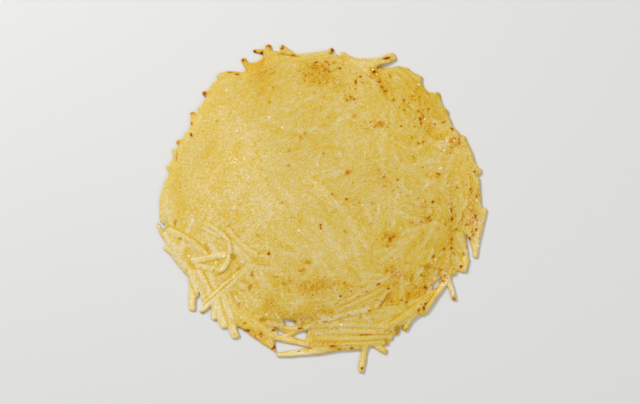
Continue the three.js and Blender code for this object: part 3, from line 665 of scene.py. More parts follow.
class PressedFace:
    """One face of the fused cake, as heights and colour values over its points."""

    bank_end = 1.18  # where a shred's side ends, in half widths of it
    bank = 0.36
    sag = 0.35
    sag_end = 1.2
    faint = 0.12  # how much of a shred shows where the cake is fused smooth
    crease_depth = 0.12
    crease_whole = 1.5
    tone_whole = 0.75
    pit_depth = 0.35
    pit_power = 3.0  # how steep a pit's side is
    strand_gap = 53.0  # keeps the grain of one shred apart from the next one's
    wobble = 0.7

    def __init__(self, x: Values, y: Values, frying: Frying, calm: float = 1.0) -> None:
        """Starts the face smooth.

        Args:
            x: The points' places along X.
            y: The points' places along Y.
            frying: What the pan did.
            calm: How much of the shreds' relief it shows.
        """
        draw = np.random.default_rng(SEED + 9)
        self.x, self.y = x, y
        self.bold = frying.boldness(x, y) * calm
        self.broken = np.clip(0.62 + 1.1 * Grain(draw, 5.0).at(x, y), 0.15, 1.35)
        self.wander = [self.wobble * Grain(draw, 2.4).at(x, y) for _ in range(2)]
        self.relief = np.zeros_like(x)
        self.tone = np.full_like(x, PLAIN_TONE)
        # Painted shade in the creases beside shreds.
        self.seam = np.zeros_like(x)
        # Painted shade in pits, and painted shadow where a pit's strength is over 1.
        self.pit_and_shade = np.zeros_like(x)
        self.proud = np.zeros_like(x)
        self.char = frying.char(x, y)
        self.along = x.copy()
        self.across = y.copy()
        self.laid = 0

    def press(self, shred: Shred, level: float, strength: float = 1.0, bed: Bed = Bed.FUSED) -> None:
        """Presses a shred into the face, over what was pressed before.

        Args:
            shred: The shred.
            level: How high the shred's top is over the smooth face.
            strength: How clearly it shows.
            bed: How it lies.
        """
        run = shred.run()
        index = near(run, self.x, self.y, shred.width)
        if not len(index):
            return
        off, gone, side = offsets(run, self.x[index], self.y[index])
        q = off / (shred.width / 2)
        bold = np.clip(self.bold[index] * strength, 0, 1)
        inside = ease(np.clip((self.bank_end - q) / self.bank, 0, 1))
        stand = self.faint + (1 - self.faint) * bold
        top = level - self.sag * np.minimum(q, self.sag_end) ** 4
        self.relief[index] += (top * stand - self.relief[index]) * inside * stand
        whole = bed is Bed.PROUD
        kind = bed.value
        crease = np.exp(-(((q - kind.place) / kind.width) ** 2)) * np.clip(side * shred.line, kind.least, 1)
        crease = crease * bold * (self.crease_whole if whole else self.broken[index])
        # The crease is a real groove; the colour kept for it below is painted shade.
        self.relief[index] -= self.crease_depth * crease
        self.seam[index] *= 1 - 0.95 * inside
        self.seam[index] += (1 - self.seam[index]) * np.clip(crease, 0, 1) * kind.seam
        mix = self.tone_whole if whole else 0.3 + 0.65 * bold
        self.tone[index] += (shred.tone - self.tone[index]) * inside * mix
        self.proud[index] += (whole - self.proud[index]) * inside
        taken = inside > 0.5
        self.laid += 1
        self.along[index[taken]] = gone[taken] + self.strand_gap * self.laid
        self.across[index[taken]] = (off * side)[taken]

    def singe(self, shred: Shred, depth: Values) -> None:
        """Burns the tip of a shred, most of all along its thin edge.

        Args:
            shred: The shred.
            depth: How far inside the cake's edge the points are.
        """
        tip = shred.run()[0]
        away = np.hypot(self.x - tip[0] + self.wander[0], self.y - tip[1] + self.wander[1])
        thin = np.clip(1.9 - depth / 1.1, 0.95, 1.5)
        close = np.clip(1.6 - away / 1.3, 0, 1)  # full within 0.8 of the tip, and none from 2.1
        self.char = np.maximum(self.char, shred.burnt * close * thin)

    def sink(self, pit_and_shade: Patch) -> None:
        """Pushes a pit with a wandering edge into the face, and keeps how much it covers for the painted
        shade in it.
        """
        cover = pit_and_shade.cover(self.x + self.wander[0], self.y + self.wander[1], self.pit_power)
        self.relief -= self.pit_depth * np.minimum(cover, 1)
        self.pit_and_shade = np.maximum(self.pit_and_shade, cover)


class ShredPress:
    """Draws the seeded shreds that fill the cake and presses them into its faces.

    A scrap and a full shred each have a range of half length, of bow and of width, and the fringe's
    shreds one of half length and of width. A stray is how far headings scatter, in radians.
    """

    scrap_share = 0.3
    scrap = ((5, 13), (-2, 2), (1.1, 2.2))
    full = ((10, 27), (-5, 5), (2.6, 4.6))
    fringe_size = ((5, 11), (2.6, 4.2))
    fringe_place = (0.965, 0.985)
    tones = (0.5, 0.27)
    stray = 0.5
    rim_stray = 0.42
    fringe_stray = 0.14
    level_spread = 0.2

    def __init__(self, cake: Cake, seed: int) -> None:
        """Keeps the cake and starts the draw."""
        self.cake = cake
        self.draw = np.random.default_rng(seed)
        self.drift = Grain(self.draw, 46.0)

    def place(self, share: float, bearing: float) -> Values:
        """Gives the place that is a share of the way out to the round's outline."""
        radius = float(self.cake.radius(np.array([bearing]))[0]) * share
        return np.array((radius * math.cos(bearing), self.cake.centre_y + radius * math.sin(bearing)))

    def straight(self, middle: Values, heading: float, half: float, bow: float, width: float) -> Shred:
        """Draws a shred's tone and lays it out from its middle."""
        reach = half * np.array((math.cos(heading), math.sin(heading)))
        (ax, ay), (bx, by) = (middle - reach).tolist(), (middle + reach).tolist()
        tone = float(np.clip(self.draw.normal(*self.tones), 0, 1))
        line = float(self.draw.choice((-1, 1)))
        return Shred.bowed((ax, ay), (bx, by), bow, width, tone=tone, line=line)

    def lie(self, share: float, bearing: float) -> Shred:
        """Draws one shred: near the rim it lies along it, in the middle beside its neighbours.

        Args:
            share: How far out it lies, 0 to 1.
            bearing: In which direction from the centre, in radians.

        Returns:
            The shred.
        """
        draw = self.draw
        middle = self.place(share, bearing)
        common = math.pi * float(self.drift.at(middle[:1], middle[1:])[0])
        heading = common + draw.normal(0, self.stray)
        if draw.uniform() < share**3:
            heading = bearing + math.pi / 2 + draw.normal(0, self.rim_stray)
        ranges = self.scrap if draw.uniform() < self.scrap_share else self.full
        return self.straight(middle, heading, *(draw.uniform(*ends) for ends in ranges))

    def fringe(self, count: int) -> list[Shred]:
        """Draws short shreds along the rim, whose ends step out of it a little."""
        out = []
        for k in range(count):
            bearing = math.tau * (k + self.draw.uniform(-0.5, 0.5)) / count
            heading = bearing + math.pi / 2 + self.draw.normal(0, self.fringe_stray)
            middle = self.place(self.draw.uniform(*self.fringe_place), bearing)
            half, width = (self.draw.uniform(*ends) for ends in self.fringe_size)
            out.append(self.straight(middle, heading, half, 0.0, width))
        return out

    def fill(self, face: PressedFace, count: int) -> None:
        """Presses a number of shreds into a face, spread evenly over it."""
        for _ in range(count):
            shred = self.lie(math.sqrt(self.draw.uniform(0, 1.02)), self.draw.uniform(0, math.tau))
            face.press(shred, self.draw.normal(0.0, self.level_spread))


def set_values(mesh: bpy.types.Mesh, values: dict[str, Values]) -> None:
    """Stores one number for each point of a mesh under each name."""
    for name, numbers in values.items():
        attribute = mesh.attributes.new(name, "FLOAT", "POINT")
        attribute.data.foreach_set("value", np.asarray(numbers, np.float32))


def plan(verts: Iterable[bmesh.types.BMVert]) -> Values:
    """Reads points as seen from above: an array of X and one of Y."""
    return np.array([v.co[:2] for v in verts]).T


def raise_to(verts: Iterable[bmesh.types.BMVert], heights: Values) -> None:
    """Moves each point to its height."""
    for vert, height in zip(verts, heights):
        vert.co.z = height


def show(name: str, bm: bmesh.types.BMesh) -> bpy.types.Object:
    """Turns a bmesh into an object in the scene, with smooth shading."""
    mesh = bpy.data.meshes.new(name)
    bm.to_mesh(mesh)
    bm.free()
    mesh.shade_smooth()
    piece = bpy.data.objects.new(name, mesh)
    bpy.context.scene.collection.objects.link(piece)
    return piece


@dataclass
class FusedCake:
    """The pressed cake: a fine top, rounded sides and a coarser underside, closed all round.

    Each row of the sides is a share of the edge's height, and how far it bulges out.
    """

    cake: Cake
    frying: Frying
    half_span: float = 126.0
    top_cell: float = 0.74
    base_cell: float = 2.4
    base_margin: float = 3.0
    base_calm: float = 0.5
    base_hollow: float = 0.9  # the most that a shred underneath is hollowed
    fit_step: float = 0.4
    fit_passes: int = 5
    ease_passes: int = 3
    mend_passes: int = 4
    shoulder: float = 2.1  # how far the rounded shoulder reaches in
    shoulder_drop: float = 0.52
    shoulder_round: float = 0.97
    fine_grain: float = 0.015
    relief_fused: float = 0.55
    relief_proud: float = 0.75
    edge_calm: float = 0.6
    lift_height: float = 0.3
    loose_strength: float = 2.5
    shred_count: int = 1500
    base_shred_count: int = 260
    fringe_count: int = 70
    underside: float = 1.0  # points lower than this are coloured as the underside
    rim_light_from: float = 0.86  # the share of the way out at which painted light starts to brighten the rim
    rim_light_width: float = 0.12
    rim_light_reach: float = 160.0
    side_rows: tuple[Point, ...] = ((0.66, 0.15), (0.36, 0.2), (0.1, 0.05), (0.0, -0.12))

    def __post_init__(self) -> None:
        """Draws the fringe and the fine unevenness, and sets up the outline."""
        self.fringe = ShredPress(self.cake, SEED + 5).fringe(self.fringe_count)
        self.outline = Outline(self.cake, [*self.fringe, *RIM_SHREDS, *LOOSE_SHREDS])
        draw = np.random.default_rng(SEED)
        self.grains = (Grain(draw, 3.0), Grain(draw, 1.3))

    def sound(self, kept: Values) -> Values:
        """Fills cells that would meet only at a corner, and drops what hangs on nothing.

        Args:
            kept: Which cells of the square grid are kept.

        Returns:
            The mended choice.
        """
        for _ in range(self.mend_passes):
            a, b, c, d = kept[:-1, :-1], kept[1:, :-1], kept[:-1, 1:], kept[1:, 1:]
            falling, rising = a & d & ~b & ~c, b & c & ~a & ~d
            kept[1:, :-1] |= falling
            kept[:-1, :-1] |= rising
        seen = np.zeros_like(kept)
        seen[len(kept) // 2, len(kept) // 2] = True
        while True:
            grown = seen.copy()
            grown[1:] |= seen[:-1]
            grown[:-1] |= seen[1:]
            grown[:, 1:] |= seen[:, :-1]
            grown[:, :-1] |= seen[:, 1:]
            grown &= kept
            if np.array_equal(grown, seen):
                return seen
            seen = grown

    def sheet(self, cell: float, margin: float, first: int = 0) -> bmesh.types.BMesh:
        """Makes a flat grid over the cake's plan.

        Args:
            cell: The size of its square cells.
            margin: How far inside the cake's edge it stops.
            first: The number of its first point.

        Returns:
            The grid.
        """
        width = 2 * self.half_span
        count = int(width / cell)
        bm = bmesh.new()
        bmesh.ops.create_grid(bm, x_segments=count, y_segments=count, size=self.half_span)
        middles = np.array([f.calc_center_median()[:2] for f in bm.faces])
        spots = tuple(np.clip(((middles + self.half_span) / width * count).astype(int), 0, count - 1).T)
        chosen = np.zeros((count, count), bool)
        chosen[spots] = self.outline.depth(middles[:, 0], middles[:, 1]) > margin
        kept = self.sound(chosen)[spots]
        bmesh.ops.delete(bm, geom=[f for f, keep in zip(bm.faces, kept) if not keep], context="FACES")
        self.number(bm, first)
        return bm

    @staticmethod
    def number(bm: bmesh.types.BMesh, first: int) -> None:
        """Writes each point's number on it, so that copies made from it keep its colour values."""
        layer = bm.verts.layers.int.new(NUMBER)
        for k, vert in enumerate(bm.verts):
            vert[layer] = first + k

    def fit_rim(self, bm: bmesh.types.BMesh) -> None:
        """Pulls a grid's boundary to the cake's edge and eases the cells beside it."""
        rim = [v for v in bm.verts if v.is_boundary]
        x, y = plan(rim)
        for _ in range(self.fit_passes):
            u, v = self.outline.inward(x, y)
            step = np.clip(self.outline.depth(x, y), -self.fit_step, self.fit_step)
            x, y = x - u * step, y - v * step
        for vert, px, py in zip(rim, x, y):
            vert.co = (px, py, 0)
        beside = {e.other_vert(v) for v in rim for e in v.link_edges}
        beside |= {e.other_vert(v) for v in beside for e in v.link_edges}
        inner = [v for v in beside if not v.is_boundary]
        for _ in range(self.ease_passes):
            bmesh.ops.smooth_vert(bm, verts=inner, factor=0.5, use_axis_x=True, use_axis_y=True)

    def top_height(self, face: PressedFace, depth: Values) -> Values:
        """Gives the top's height with its relief, its fine unevenness and its rounded shoulder.

        Args:
            face: The dressed top.
            depth: How far inside the cake's edge its points are.

        Returns:
            The height of each point.
        """
        x, y = face.x, face.y
        smooth = self.cake.height(x, y)
        near_edge = np.clip(1 - depth / self.shoulder, 0, 1)
        fall = self.shoulder_drop * smooth * (1 - np.sqrt(1 - self.shoulder_round * near_edge**2))
        fine = self.fine_grain * (self.grains[0].at(x, y) + self.grains[1].at(x, y))
        rough = (self.relief_fused + self.relief_proud * face.proud) * face.relief + fine
        return smooth + rough * (1 - self.edge_calm * near_edge) - fall

    def dress_top(self, x: Values, y: Values, depth: Values) -> PressedFace:
        """Presses all the shreds and pits into the top.

        Args:
            x: The points' places along X.
            y: The points' places along Y.
            depth: How far inside the cake's edge they are.

        Returns:
            The dressed top.
        """
        face = PressedFace(x, y, self.frying)
        ShredPress(self.cake, SEED + 1).fill(face, self.shred_count)
        layers = ((STREAKS, 0.15, 0.7), (self.fringe, 0.1, 0.8), (RIM_SHREDS, 0.1, 1.3))
        for shreds, level, strength in layers:
            for shred in shreds:
                face.press(shred, level, strength)
        for shred in LOOSE_SHREDS:
            face.press(shred, 0.1 + self.lift_height * shred.lift, self.loose_strength, Bed.PROUD)
        for shred in RIM_SHREDS:
            face.singe(shred, depth)
        for pit_and_shade in PITS_AND_PAINTED_SHADOWS:
            face.sink(pit_and_shade)
        return face

    def add_sides(self, bm: bmesh.types.BMesh, high: Values) -> list:
        """Extrudes the rounded sides down from the top's boundary.

        Args:
            bm: The top, whose boundary is at the cake's edge.
            high: The height of each of its points.

        Returns:
            The edges of the lowest loops.
        """
        layer = bm.verts.layers.int[NUMBER]
        loop = [e for e in bm.edges if e.is_boundary]
        ring = list(dict.fromkeys(v for e in loop for v in e.verts))
        high = high[[v[layer] for v in ring]]
        x, y = plan(ring)
        u, v = self.outline.inward(x, y)
        for level, grow in self.side_rows:
            made = bmesh.ops.extrude_edge_only(bm, edges=loop)["geom"]
            loop = [g for g in made if isinstance(g, bmesh.types.BMEdge) and g.is_boundary]
            new = {g for g in made if isinstance(g, bmesh.types.BMVert)}
            ring = [next(o for e in vert.link_edges if (o := e.other_vert(vert)) in new) for vert in ring]
            for vert, px, py, pz in zip(ring, x - grow * u, y - grow * v, level * high):
                vert.co = (px, py, pz)
        return loop

    def add_base(self, bm: bmesh.types.BMesh, loop: list, first: int) -> PressedFace:
        """Closes the cake with its underside.

        Args:
            bm: The top and sides.
            loop: The edges of the sides' lowest loops.
            first: The number of the underside's first point.

        Returns:
            The underside's face.
        """
        base = self.sheet(self.base_cell, self.base_margin, first)
        rim = np.array([v.is_boundary for v in base.verts])
        face = PressedFace(*plan(base.verts), self.frying, self.base_calm)
        ShredPress(self.cake, SEED + 2).fill(face, self.base_shred_count)
        raise_to(base.verts, np.where(rim, 0, np.clip(0.2 - 0.9 * face.relief, 0, self.base_hollow)))
        mesh = bpy.data.meshes.new("underside")
        base.to_mesh(mesh)
        base.free()
        bm.from_mesh(mesh)
        bpy.data.meshes.remove(mesh)
        inner = [e for e in bm.edges if e.is_boundary and e not in set(loop)]
        bmesh.ops.triangle_fill(bm, edges=[*loop, *inner], use_beauty=True, normal=(0, 0, -1))
        return face

    def build(self) -> bpy.types.Object:
        """Builds the cake's mesh.

        Returns:
            The object, with its colour values on its points.
        """
        bm = self.sheet(self.top_cell, 0.0)
        self.fit_rim(bm)
        x, y = plan(bm.verts)
        depth = self.outline.depth(x, y)
        top = self.dress_top(x, y, depth)
        high = self.top_height(top, depth)
        raise_to(bm.verts, high)
        base = self.add_base(bm, self.add_sides(bm, high), len(x))
        bmesh.ops.recalc_face_normals(bm, faces=bm.faces[:])
        points = np.array([v.co[:] for v in bm.verts])
        layer = bm.verts.layers.int[NUMBER]
        numbers = np.array([v[layer] for v in bm.verts])
        bm.verts.layers.int.remove(layer)
        open_edges = sum(not e.is_manifold for e in bm.edges)
        bmesh.ops.scale(bm, vec=(MM, MM, MM), verts=bm.verts)
        piece = show("fused_cake", bm)
        set_values(piece.data, self.colours((top, base), points, numbers))
        LOG.info("open edges: %d", open_edges)
        return piece

    def colours(self, faces: Sequence[PressedFace], points: Values, numbers: Values) -> dict[str, Values]:
        """Collects the colour values of all the points.

        Args:
            faces: The top and the underside.
            points: All the points.
            numbers: The number of each point's own colour values, the top's first.

        Returns:
            The values under their names.
        """
        x, y = points[:, 0], points[:, 1]
        under = (points[:, 2] < self.underside).astype(float)
        shares = {"tone": 1, "seam": 1 - 0.6 * under, "pit_and_shade": 1 - under, "proud": 1, "char": 1 - under,
                  "along": MM, "across": MM}
        values = {
            name: np.concatenate([getattr(face, name) for face in faces])[numbers] * share
            for name, share in shares.items()
        }
        for name, more in (("gold", 0.15), ("toast", 0.3), ("speckle", 0.15)):
            values[name] = np.clip(getattr(self.frying, name)(x, y) + more * under, 0, 1)
        # Painted light: the colour is brighter near the rim, and more so towards the front.
        near_rim = np.clip((self.cake.share(x, y) - self.rim_light_from) / self.rim_light_width, 0, 1)
        values["oil_and_painted_light"] = self.frying.oil_and_painted_light(x, y) * (1 - under)
        values["painted_rim_light"] = near_rim * np.clip(0.5 - y / self.rim_light_reach, 0, 1)
        return values


def colour(red: int, green: int, blue: int) -> tuple[float, float, float, float]:
    """Turns a screen colour of 0 to 255 into Blender's linear one."""
    parts = [c / 255 for c in (red, green, blue)]
    linear = [c / 12.92 if c <= 0.04045 else ((c + 0.055) / 1.055) ** 2.4 for c in parts]
    return linear[0], linear[1], linear[2], 1.0


class Weave:
    """Adds and links the nodes of one material in short calls."""

    def __init__(self, name: str) -> None:
        """Starts an empty material."""
        self.material = bpy.data.materials.new(name)
        self.material.use_nodes = True
        self.tree = self.material.node_tree
        self.tree.nodes.clear()

    def node(self, kind: str, inputs: dict | None = None, **settings: object) -> bpy.types.Node:
        """Adds a node.

        Args:
            kind: The node's type, without its ShaderNode prefix.
            inputs: Values or sockets for its inputs, by name or number.
            **settings: Its own settings.

        Returns:
            The node.
        """
        made = self.tree.nodes.new("ShaderNode" + kind)
        for key, value in settings.items():
            setattr(made, key, value)
        for key, value in (inputs or {}).items():
            if isinstance(value, Socket):
                self.tree.links.new(value, made.inputs[key])
            else:
                made.inputs[key].default_value = value
        return made

    def finish(self, **inputs: object) -> bpy.types.Material:
        """Ends the material with a surface whose inputs are named with _ for each space."""
        named = {name.replace("_", " "): value for name, value in inputs.items()}
        shader = self.node("BsdfPrincipled", named)
        self.node("OutputMaterial", {"Surface": shader.outputs[0]})
        return self.material

    def value(self, name: str) -> Socket:
        """Reads a number stored on the mesh's points."""
        return self.node("Attribute", attribute_name=name).outputs["Fac"]

    def maths(self, operation: str, a: object, b: object, c: object = 0.0) -> Socket:
        """Works out one sum of numbers or sockets."""
        return self.node("Math", {0: a, 1: b, 2: c}, operation=operation).outputs[0]

    def times(self, a: object, b: object) -> Socket:
        """Multiplies two numbers or sockets."""
        return self.maths("MULTIPLY", a, b)

    def swing(self, value: object, middle: float, reach: object) -> Socket:
        """Takes a middle from a number and multiplies what is left by its reach."""
        return self.times(self.maths("SUBTRACT", value, middle), reach)

    def vector(self, operation: str, inputs: dict) -> Socket:
        """Works out one sum of places."""
        return self.node("VectorMath", inputs, operation=operation).outputs[0]

    def span(self, value: object, low: float, high: float, *ends: float) -> Socket:
        """Maps a number from one range to another, clamped; the other is 0 to 1 unless its ends are given."""
        to_low, to_high = ends or (0.0, 1.0)
        inputs = {"Value": value, "From Min": low, "From Max": high, "To Min": to_low, "To Max": to_high}
        return self.node("MapRange", inputs, clamp=True).outputs["Result"]

    def blend(self, share: object, a: object, b: object, kind: str = "MIX") -> Socket:
        """Mixes two colours."""
        mix = self.node("Mix", {0: share, 6: a, 7: b}, data_type="RGBA", blend_type=kind)
        return mix.outputs[2]

    def ramp(self, value: object, stops: Sequence[tuple[float, Shade]]) -> Socket:
        """Turns a number into a colour between the given stops."""
        made = self.node("ValToRGB", {0: value})
        band = made.color_ramp.elements
        while len(band) < len(stops):
            band.new(0.5)
        for slot, (place, _) in zip(band, stops):
            slot.position = place
        for slot, (_, shade) in zip(band, stops):
            slot.color = colour(*shade)
        return made.outputs["Color"]

    def noise(self, place: object, scale: float, detail: float = 2.0, rough: float = 0.5) -> Socket:
        """Gives noise from 0 to 1 with about this many waves a metre."""
        inputs = {"Vector": place, "Scale": scale, "Detail": detail, "Roughness": rough}
        return self.node("TexNoise", inputs).outputs["Fac"]


class Grated(Weave):
    """A material with the place on the piece and noise of three sizes, from some millimetres to under one."""

    def __init__(self, name: str, coarse: Noise, fine: Noise, grit: Noise) -> None:
        """Starts the material."""
        super().__init__(name)
        self.place = self.node("TexCoord").outputs["Object"]
        self.coarse, self.fine, self.grit = (self.noise(self.place, *size) for size in (coarse, fine, grit))


@dataclass(frozen=True)
class FriedPotato:
    """The finish of pressed, fried potato: pale gold, a little see-through, oily and flecked, with painted
    shade, painted shadow, painted light and painted glints in its colour.

    The shades go from cream to ochre. A noise is its waves a metre, its detail and its roughness.
    """

    shades: tuple[tuple[float, Shade], ...] = (
        (0.0, (220, 205, 164)), (0.3, (215, 191, 107)), (0.55, (214, 184, 72)),
        (0.8, (212, 173, 28)), (1.0, (206, 157, 4)),
    )
    orange: Shade = (208, 146, 4)
    brown: Shade = (182, 100, 0)
    dark: Shade = (124, 48, 0)
    # Painted shade in pits, and the browned halo round specks.
    pit_shade_and_halo: Shade = (197, 147, 0)
    # Painted shadow.
    painted_shadow: Shade = (176, 142, 50)
    # Painted glints.
    painted_glint: Shade = (255, 252, 240)
    coarse: Noise = (170, 2.0, 0.5)
    fine: Noise = (520, 2.0, 0.6)
    grit: Noise = (1300, 1.0, 0.5)
    fibre: Noise = (850, 2.0, 0.6)
    haze: Noise = (330, 3.0, 0.7)
    clumps: Noise = (120, 2.0, 0.5)
    wet: Noise = (520, 2.0, 0.5)
    sand: Noise = (2600, 0.0, 0.5)
    spots: float = 880.0
    # How many painted glints fit in a metre.
    painted_glint_scale: float = 800.0
    see_through: float = 0.55
    see_depth: float = 0.003

    @staticmethod
    def strand(w: Weave, stretch: float) -> Socket:
        """Gives the place on its own shred, with the way along it multiplied by a stretch."""
        parts = {0: w.times(w.value("along"), stretch), 1: w.value("across")}
        return w.node("CombineXYZ", parts).outputs[0]

    def richness(self, w: Grated) -> Socket:
        """Works out how far the potato is from cream to ochre at each place.

        Args:
            w: The material.

        Returns:
            A number from 0, cream, to 1, ochre.
        """
        fibre = w.noise(self.strand(w, 0.22), *self.fibre)
        calm = w.span(w.value("proud"), 0.0, 1.0, 1.0, 0.7)
        damp = w.times(calm, w.span(w.value("oil_and_painted_light"), 0.05, 0.8, 0.85, 1.35))
        # The crease value turns the colour towards ochre as painted shade.
        parts = (
            (w.value("gold"), 0.0, 1.0), (w.value("tone"), PLAIN_TONE, -0.54), (w.coarse, 0.5, 0.15),
            (w.value("seam"), 0.0, 0.52), (w.value("speckle"), 0.1, 0.14), (w.value("char"), 0.0, 0.6),
            (w.fine, 0.5, w.times(damp, 0.7)), (w.grit, 0.5, w.times(damp, 1.2)),
            (fibre, 0.5, w.times(damp, 1.35)),
        )
        total: object = 0.0
        for source, middle, weight in parts:
            total = w.maths("ADD", total, w.swing(source, middle, weight))
        return total

    @staticmethod
    def spotted(w: Weave, place: object, scale: float, density: object) -> tuple[object, object, object]:
        """Scatters small uneven spots.

        Args:
            w: The material.
            place: The place on the piece.
            scale: How many spots fit in a metre.
            density: The share of them that shows, 0 to 1.

        Returns:
            How much of a spot lies on each place, how much of its halo, and a random number for each.
        """
        shake = w.node("TexNoise", {"Vector": place, "Scale": scale * 2.0, "Detail": 1.0}).outputs["Color"]
        shift = w.vector("SUBTRACT", {0: shake, 1: (0.5, 0.5, 0.5)})
        moved = w.vector("ADD", {0: place, 1: w.vector("SCALE", {0: shift, "Scale": 2.0 / scale})})
        cells = w.node("TexVoronoi", {"Vector": moved, "Scale": scale}, voronoi_dimensions="2D")
        picks = w.node("SeparateColor", {0: cells.outputs["Color"]}).outputs
        reach = w.maths("MULTIPLY_ADD", picks[2], 0.32, 0.2)
        away = w.maths("DIVIDE", cells.outputs["Distance"], reach)
        chosen = w.maths("LESS_THAN", picks[0], density)
        core = w.times(chosen, w.span(away, 0.7, 1.2, 1.0, 0.0))
        halo = w.times(chosen, w.span(away, 1.0, 2.6, 1.0, 0.0))
        return core, halo, picks[1]

    def plain(self, w: Grated) -> Socket:
        """Colours the potato, with painted light where it is oily and near its rim, and painted shade and
        painted shadow in its pits, without what the pan has browned.

        Args:
            w: The material.

        Returns:
            The colour.
        """
        base = w.ramp(self.richness(w), self.shades)
        # Fine grain, then painted light: brighter where oily and near the rim.
        for grain_and_painted_light in (
            w.span(w.noise(w.place, *self.sand), 0.2, 0.8, 0.86, 1.14),
            w.span(w.value("oil_and_painted_light"), 0.05, 0.9, 0.935, 1.03),
            w.span(w.value("painted_rim_light"), 0.0, 1.0, 1.0, 1.11),
        ):
            base = w.blend(1.0, base, grain_and_painted_light, "MULTIPLY")
        # Painted shade in the pits, with fine mottling, then painted shadow where a pit is strongest.
        depth = w.maths("ADD", w.value("pit_and_shade"), w.swing(w.fine, 0.5, 0.9))
        base = w.blend(w.span(depth, 0.15, 0.75), base, colour(*self.pit_shade_and_halo))
        return w.blend(w.span(w.value("pit_and_shade"), 1.0, 1.3), base, colour(*self.painted_shadow))

    def browned(self, w: Grated, base: Socket) -> Socket:
        """Adds what the pan has done, orange haze, brown specks and singed places, and then a few painted
        glints.

        Args:
            w: The material.
            base: The colour before.

        Returns:
            The colour.
        """
        orange, brown, dark = colour(*self.orange), colour(*self.brown), colour(*self.dark)
        haze = w.times(w.value("toast"), w.span(w.noise(w.place, *self.haze), 0.38, 0.62))
        base = w.blend(w.times(haze, 0.5), base, orange)
        clumps = w.span(w.noise(w.place, *self.clumps), 0.35, 0.65, 0.4, 1.4)
        density = w.swing(w.value("speckle"), 0.055, clumps)
        spot, halo, kind = self.spotted(w, self.strand(w, 0.65), self.spots, density)
        base = w.blend(w.times(halo, 0.8), base, colour(*self.pit_shade_and_halo))
        spot_colour = w.blend(w.span(kind, 0.1, 0.5), orange, brown)
        spot_colour = w.blend(w.span(kind, 0.6, 1.0, 0.0, 0.35), spot_colour, dark)
        base = w.blend(w.times(spot, 0.9), base, spot_colour)
        ragged = w.maths("ADD", w.value("char"), w.swing(w.grit, 0.5, 1.5))
        singe = w.blend(w.span(ragged, 0.45, 0.85), orange, brown)
        singe = w.blend(w.span(ragged, 0.7, 1.1), singe, dark)
        base = w.blend(w.span(ragged, 0.28, 0.5), base, singe)
        # Painted glints: small near-white spots where it is oily.
        rare = w.times(w.maths("POWER", w.value("oil_and_painted_light"), 2.0), clumps)
        glint, _, _ = self.spotted(w, self.strand(w, 0.8), self.painted_glint_scale, w.times(rare, 0.045))
        return w.blend(w.times(glint, 0.95), base, colour(*self.painted_glint))

    def material(self, name: str) -> bpy.types.Material:
        """Builds the material under a name."""
        w = Grated(name, self.coarse, self.fine, self.grit)
        base = self.browned(w, self.plain(w))
        wet = w.span(w.noise(w.place, *self.wet), 0.48, 0.62)
        film = w.times(w.value("oil_and_painted_light"), w.maths("MULTIPLY_ADD", wet, 0.4, 0.08))
        bump = w.node("Bump", {"Height": w.grit, "Strength": 0.7, "Distance": 0.0004}).outputs[0]
        return w.finish(
            Base_Color=base, Roughness=w.span(w.coarse, 0.3, 0.7, 0.45, 0.6), Normal=bump, IOR=1.42,
            Specular_IOR_Level=0.15, Coat_Weight=film, Coat_Roughness=0.14, Coat_Normal=bump,
            Subsurface_Weight=self.see_through, Subsurface_Scale=self.see_depth,
            Subsurface_Radius=(1.0, 0.7, 0.3),
        )


@dataclass(frozen=True)
class Lamp:
    """A square light: its place and side in metres and its power; a glint only shows in gloss."""

    name: str
    place: tuple[float, float, float]
    side: float
    watts: float
    glint: bool = False

    def hang(self) -> None:
        """Hangs the light so that it shines at the cake."""
        lamp = bpy.data.lights.new(self.name, "AREA")
        lamp.size = self.side
        lamp.energy = self.watts
        held = bpy.data.objects.new(self.name, lamp)
        held.location = self.place
        held.rotation_euler = (-Vector(self.place)).to_track_quat("-Z", "Y").to_euler()
        held.visible_diffuse = not self.glint
        bpy.context.scene.collection.objects.link(held)


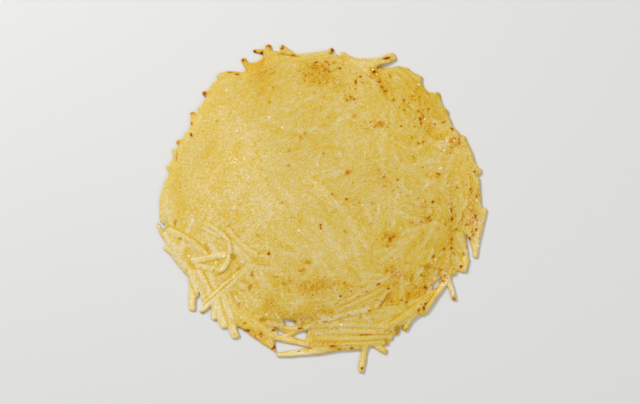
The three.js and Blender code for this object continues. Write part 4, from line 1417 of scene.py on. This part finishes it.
@dataclass(frozen=True)
class Studio:
    """A pale floor, soft light from the back left, and a camera straight above."""

    aim: Point = (-1.47, 4.41)
    view_width: float = 470.4
    lens: float = 60.0
    sensor: float = 36.0
    subject_height: float = 8.0
    floor_side: float = 3.0  # in metres
    floor_grey: Shade = (216, 216, 215)
    sky: float = 0.4
    lamps: tuple[Lamp, ...] = (
        Lamp("key", (-0.85, 0.95, 1.3), 0.45, 22.6),
        Lamp("fill", (0.8, -0.4, 1.2), 1.4, 7.0),
        Lamp("glint", (-0.36, 0.4, 1.2), 0.12, 1.6, glint=True),
    )

    def floor(self) -> None:
        """Lays the floor."""
        bm = bmesh.new()
        bmesh.ops.create_grid(bm, x_segments=1, y_segments=1, size=self.floor_side / 2)
        piece = show("floor", bm)
        paint = Weave("floor_paint").finish(Base_Color=colour(*self.floor_grey), Roughness=0.7)
        piece.data.materials.append(paint)

    def camera(self) -> None:
        """Sets the camera straight above the cake."""
        lens = bpy.data.cameras.new("camera")
        lens.lens = self.lens
        lens.sensor_width = self.sensor
        distance = self.view_width * self.lens / self.sensor + self.subject_height
        held = bpy.data.objects.new("camera", lens)
        held.location = Vector((*self.aim, distance)) * MM
        bpy.context.scene.collection.objects.link(held)
        bpy.context.scene.camera = held

    def build(self) -> None:
        """Sets up the floor, the camera, the lights and the picture's tones."""
        self.floor()
        self.camera()
        for lamp in self.lamps:
            lamp.hang()
        world = bpy.data.worlds.new("studio")
        world.use_nodes = True
        sky = world.node_tree.nodes["Background"].inputs
        sky["Color"].default_value = (1, 1, 1, 1)
        sky["Strength"].default_value = self.sky
        scene = bpy.context.scene
        scene.world = world
        scene.view_settings.view_transform = "Standard"


def report(piece: bpy.types.Object) -> None:
    """Logs a piece's name and size."""
    piece.data.calc_loop_triangles()
    LOG.info("%s: %d triangles", piece.name, len(piece.data.loop_triangles))


def main() -> None:
    """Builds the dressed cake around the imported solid."""
    logging.basicConfig(level=logging.INFO, format="%(message)s")
    Studio().build()
    piece = FusedCake(Cake(), Frying()).build()
    piece.data.materials.append(FriedPotato().material("fried_potato"))
    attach(piece, BODY)
    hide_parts(NODE)
    report(piece)


if __name__ == "__main__":
    main()
